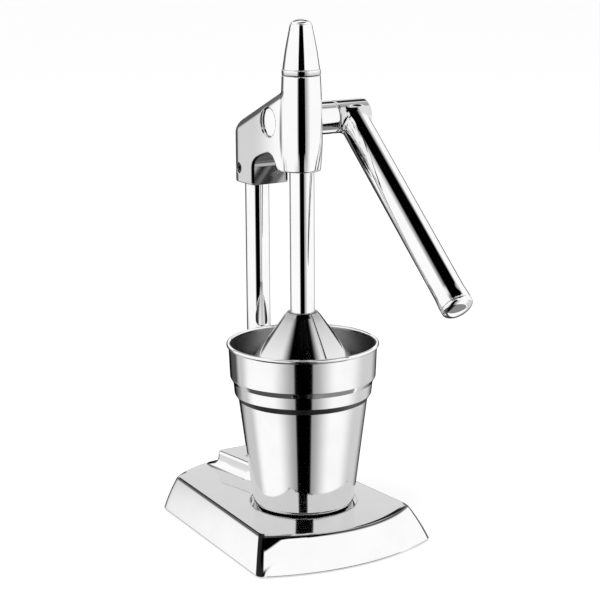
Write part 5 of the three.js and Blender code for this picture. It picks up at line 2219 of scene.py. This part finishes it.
@dataclass(frozen=True)
class Lamp:
    """A round lamp: place in degrees from the front and above the horizon, width in mm and power in watts."""

    name: str
    azimuth: float
    elevation: float
    width: float
    power: float

    def build(self, distance: float, aim_height: float) -> None:
        """Makes the lamp, hidden from mirrors.

        Args:
            distance: how far it hangs from what it lights, in metres.
            aim_height: height of the place it lights, in metres.
        """
        lamp = bpy.data.lights.new(self.name, "AREA")
        lamp.shape = "DISK"
        lamp.size = self.width * MM
        lamp.energy = self.power
        holder = bpy.data.objects.new(self.name, lamp)
        way = bearing_of(math.radians(self.azimuth), math.radians(self.elevation))
        holder.location = way * distance + np.array([0, 0, aim_height])
        holder.rotation_euler = Vector(way).to_track_quat("Z", "Y").to_euler()
        holder.visible_glossy = False
        bpy.context.scene.collection.objects.link(holder)


@dataclass
class Studio:
    """White sweep, soft lamps and dark cards round the press."""

    view: Viewpoint
    fill: float = 1.0
    lamp_distance: float = 1.6
    lamp_aim: float = 0.2
    floor_reach: float = 40000.0
    floor_glow: float = 0.5
    floor_grain: float = 60.0
    lamps: tuple[Lamp, ...] = (
        Lamp("key", azimuth=-70.0, elevation=52.0, width=900.0, power=9.0),
        Lamp("fill", azimuth=40.0, elevation=38.0, width=1100.0, power=5.0),
    )
    flags: tuple[Flag, ...] = (
        # the dark gap in front of the press, seen as the black stripe down every upright round piece
        Flag(azimuth=1, half=13, low=-90, high=19, left_soft=3, right_soft=3),
        Flag(azimuth=2, half=18, low=-14, high=19, left_soft=3, right_soft=3, end_soft=3),
        Flag(azimuth=-1, half=9, low=19, high=36, left_soft=3, right_soft=3),
        # its soft edges: faint on the right, wide on both sides low down
        Flag(azimuth=1, half=22, low=-16, high=0, left_soft=3, right_soft=30, depth=0.6),
        Flag(azimuth=1, half=13, low=-90, high=-20, left_soft=42, right_soft=42, depth=0.66),
        # the dark ceiling behind the front lamps, its front edge and its grey right side
        Flag(azimuth=20, half=84, low=61, high=90, left_soft=14, right_soft=18, end_soft=7),
        Flag(azimuth=0, half=36, low=54, high=66, left_soft=20, right_soft=20, end_soft=2),
        Flag(azimuth=-31, half=11, low=42, high=60, left_soft=36, right_soft=4, end_soft=5),
        Flag(azimuth=33, half=5, low=46, high=60, left_soft=4, right_soft=32),
        Flag(azimuth=118, half=20, low=54, high=80, left_soft=10, right_soft=14, depth=0.45),
        # the dark room behind
        Flag(azimuth=184, half=18, low=-44, high=1, left_soft=34, right_soft=18, end_soft=6),
        Flag(azimuth=160, half=9, low=-4, high=7, left_soft=7, right_soft=9, end_soft=5, depth=0.85),
        Flag(azimuth=-153, half=22, low=-19, high=10, left_soft=10, right_soft=12, depth=0.85),
        # its grey walls, left and right
        Flag(azimuth=-128, half=14, low=-42, high=-14.5, left_soft=14, right_soft=22, end_soft=1.5,
             depth=0.42),
        Flag(azimuth=130, half=18, low=-42, high=-14.5, left_soft=34, right_soft=12, end_soft=1.5,
             depth=0.36),
        # the dark beam above it
        Flag(azimuth=183, half=31, low=27, high=48, left_soft=3, right_soft=4, end_soft=2, depth=0.98),
        # the dark table edge below
        Flag(azimuth=-83, half=114, low=-90, high=-44, end_soft=5, depth=0.92),
        Flag(azimuth=76, half=47, low=-90, high=-46, end_soft=2, depth=0.75),
    )

    def world(self) -> None:
        """The world: white to the eye, a plain fill for matt things, and the dark cards for mirrors."""
        world = bpy.data.worlds.new("sweep")
        bpy.context.scene.world = world
        world.use_nodes = True
        sheet = NodeSheet(world.node_tree)
        way = sheet.add("ShaderNodeTexCoord", output="Generated")
        x = sheet.add("ShaderNodeSeparateXYZ", inputs={"Vector": way})
        y, z = x.beside("Y"), x.beside("Z")
        flat = math.degrees(1)
        a = self.view.azimuth
        front = x * math.sin(a) - y * math.cos(a)
        side = x * math.cos(a) + y * math.sin(a)
        bearing = side.maths("ARCTAN2", side, front) * flat
        elevation = z.maths("ARCSINE", z) * flat
        light: Wire | float = 1.0
        for flag in self.flags:
            light = flag.shading(bearing, elevation) * light
        is_camera = sheet.add("ShaderNodeLightPath", output="Is Camera Ray")
        is_glossy = is_camera.beside("Is Glossy Ray")
        seen = is_camera.most(is_camera.beside("Is Transmission Ray")).most(is_glossy)
        strength = self.fill * (1 - seen) + seen * (is_glossy * light + (1 - is_glossy))
        background = sheet.add("ShaderNodeBackground", inputs={"Color": (1, 1, 1, 1), "Strength": strength})
        sheet.add("ShaderNodeOutputWorld", inputs={"Surface": background})

    def floor(self) -> None:
        """A wide pale floor that shows white to the eye and keeps the press's shadow."""
        material, sheet = new_material("pale_floor")
        grain = sheet.noise(scale=self.floor_grain, detail=4.0)
        diffuse = sheet.add("ShaderNodeBsdfDiffuse", inputs={
            "Color": sheet.blend(grain, (0.95, 0.95, 0.95), (0.97, 0.97, 0.97)), "Roughness": 0.5})
        glow = sheet.add("ShaderNodeEmission", inputs={"Color": (1, 1, 1, 1), "Strength": 1.0})
        is_camera = sheet.add("ShaderNodeLightPath", output="Is Camera Ray")
        mixed = sheet.add("ShaderNodeMixShader", inputs={0: is_camera * self.floor_glow, 1: diffuse, 2: glow})
        sheet.add("ShaderNodeOutputMaterial", inputs={"Surface": mixed})
        reach = self.floor_reach
        corners = np.array([[-reach, -reach, 0], [reach, -reach, 0], [reach, reach, 0], [-reach, reach, 0]])
        mesh = Surface(corners, (np.array([[0, 1, 2, 3]]),)).mesh("floor")
        mesh.materials.append(material)
        floor = bpy.data.objects.new("floor", mesh)
        bpy.context.scene.collection.objects.link(floor)
        floor.visible_glossy = False

    def build(self) -> None:
        """Sets the stage and the colour management."""
        self.view.build()
        self.world()
        for lamp in self.lamps:
            lamp.build(self.lamp_distance, self.lamp_aim)
        self.floor()
        bpy.context.scene.view_settings.view_transform = "Standard"


def main() -> None:
    """Builds the studio and each sub-assembly in order."""
    logging.basicConfig(level=logging.INFO, format="%(name)s %(message)s")
    axes = Axes.from_frame()
    shop = Workshop()
    Studio(Viewpoint(axes)).build()
    for part in (Base(axes), Feet(), Column(axes), Head(axes), TopCap(axes), Ram(axes), PressBell(axes),
                 Lever(axes), Cup(axes), Strainer(axes)):
        log.info("building %s", type(part).__name__)
        part.build(shop)


if __name__ == "__main__":
    main()
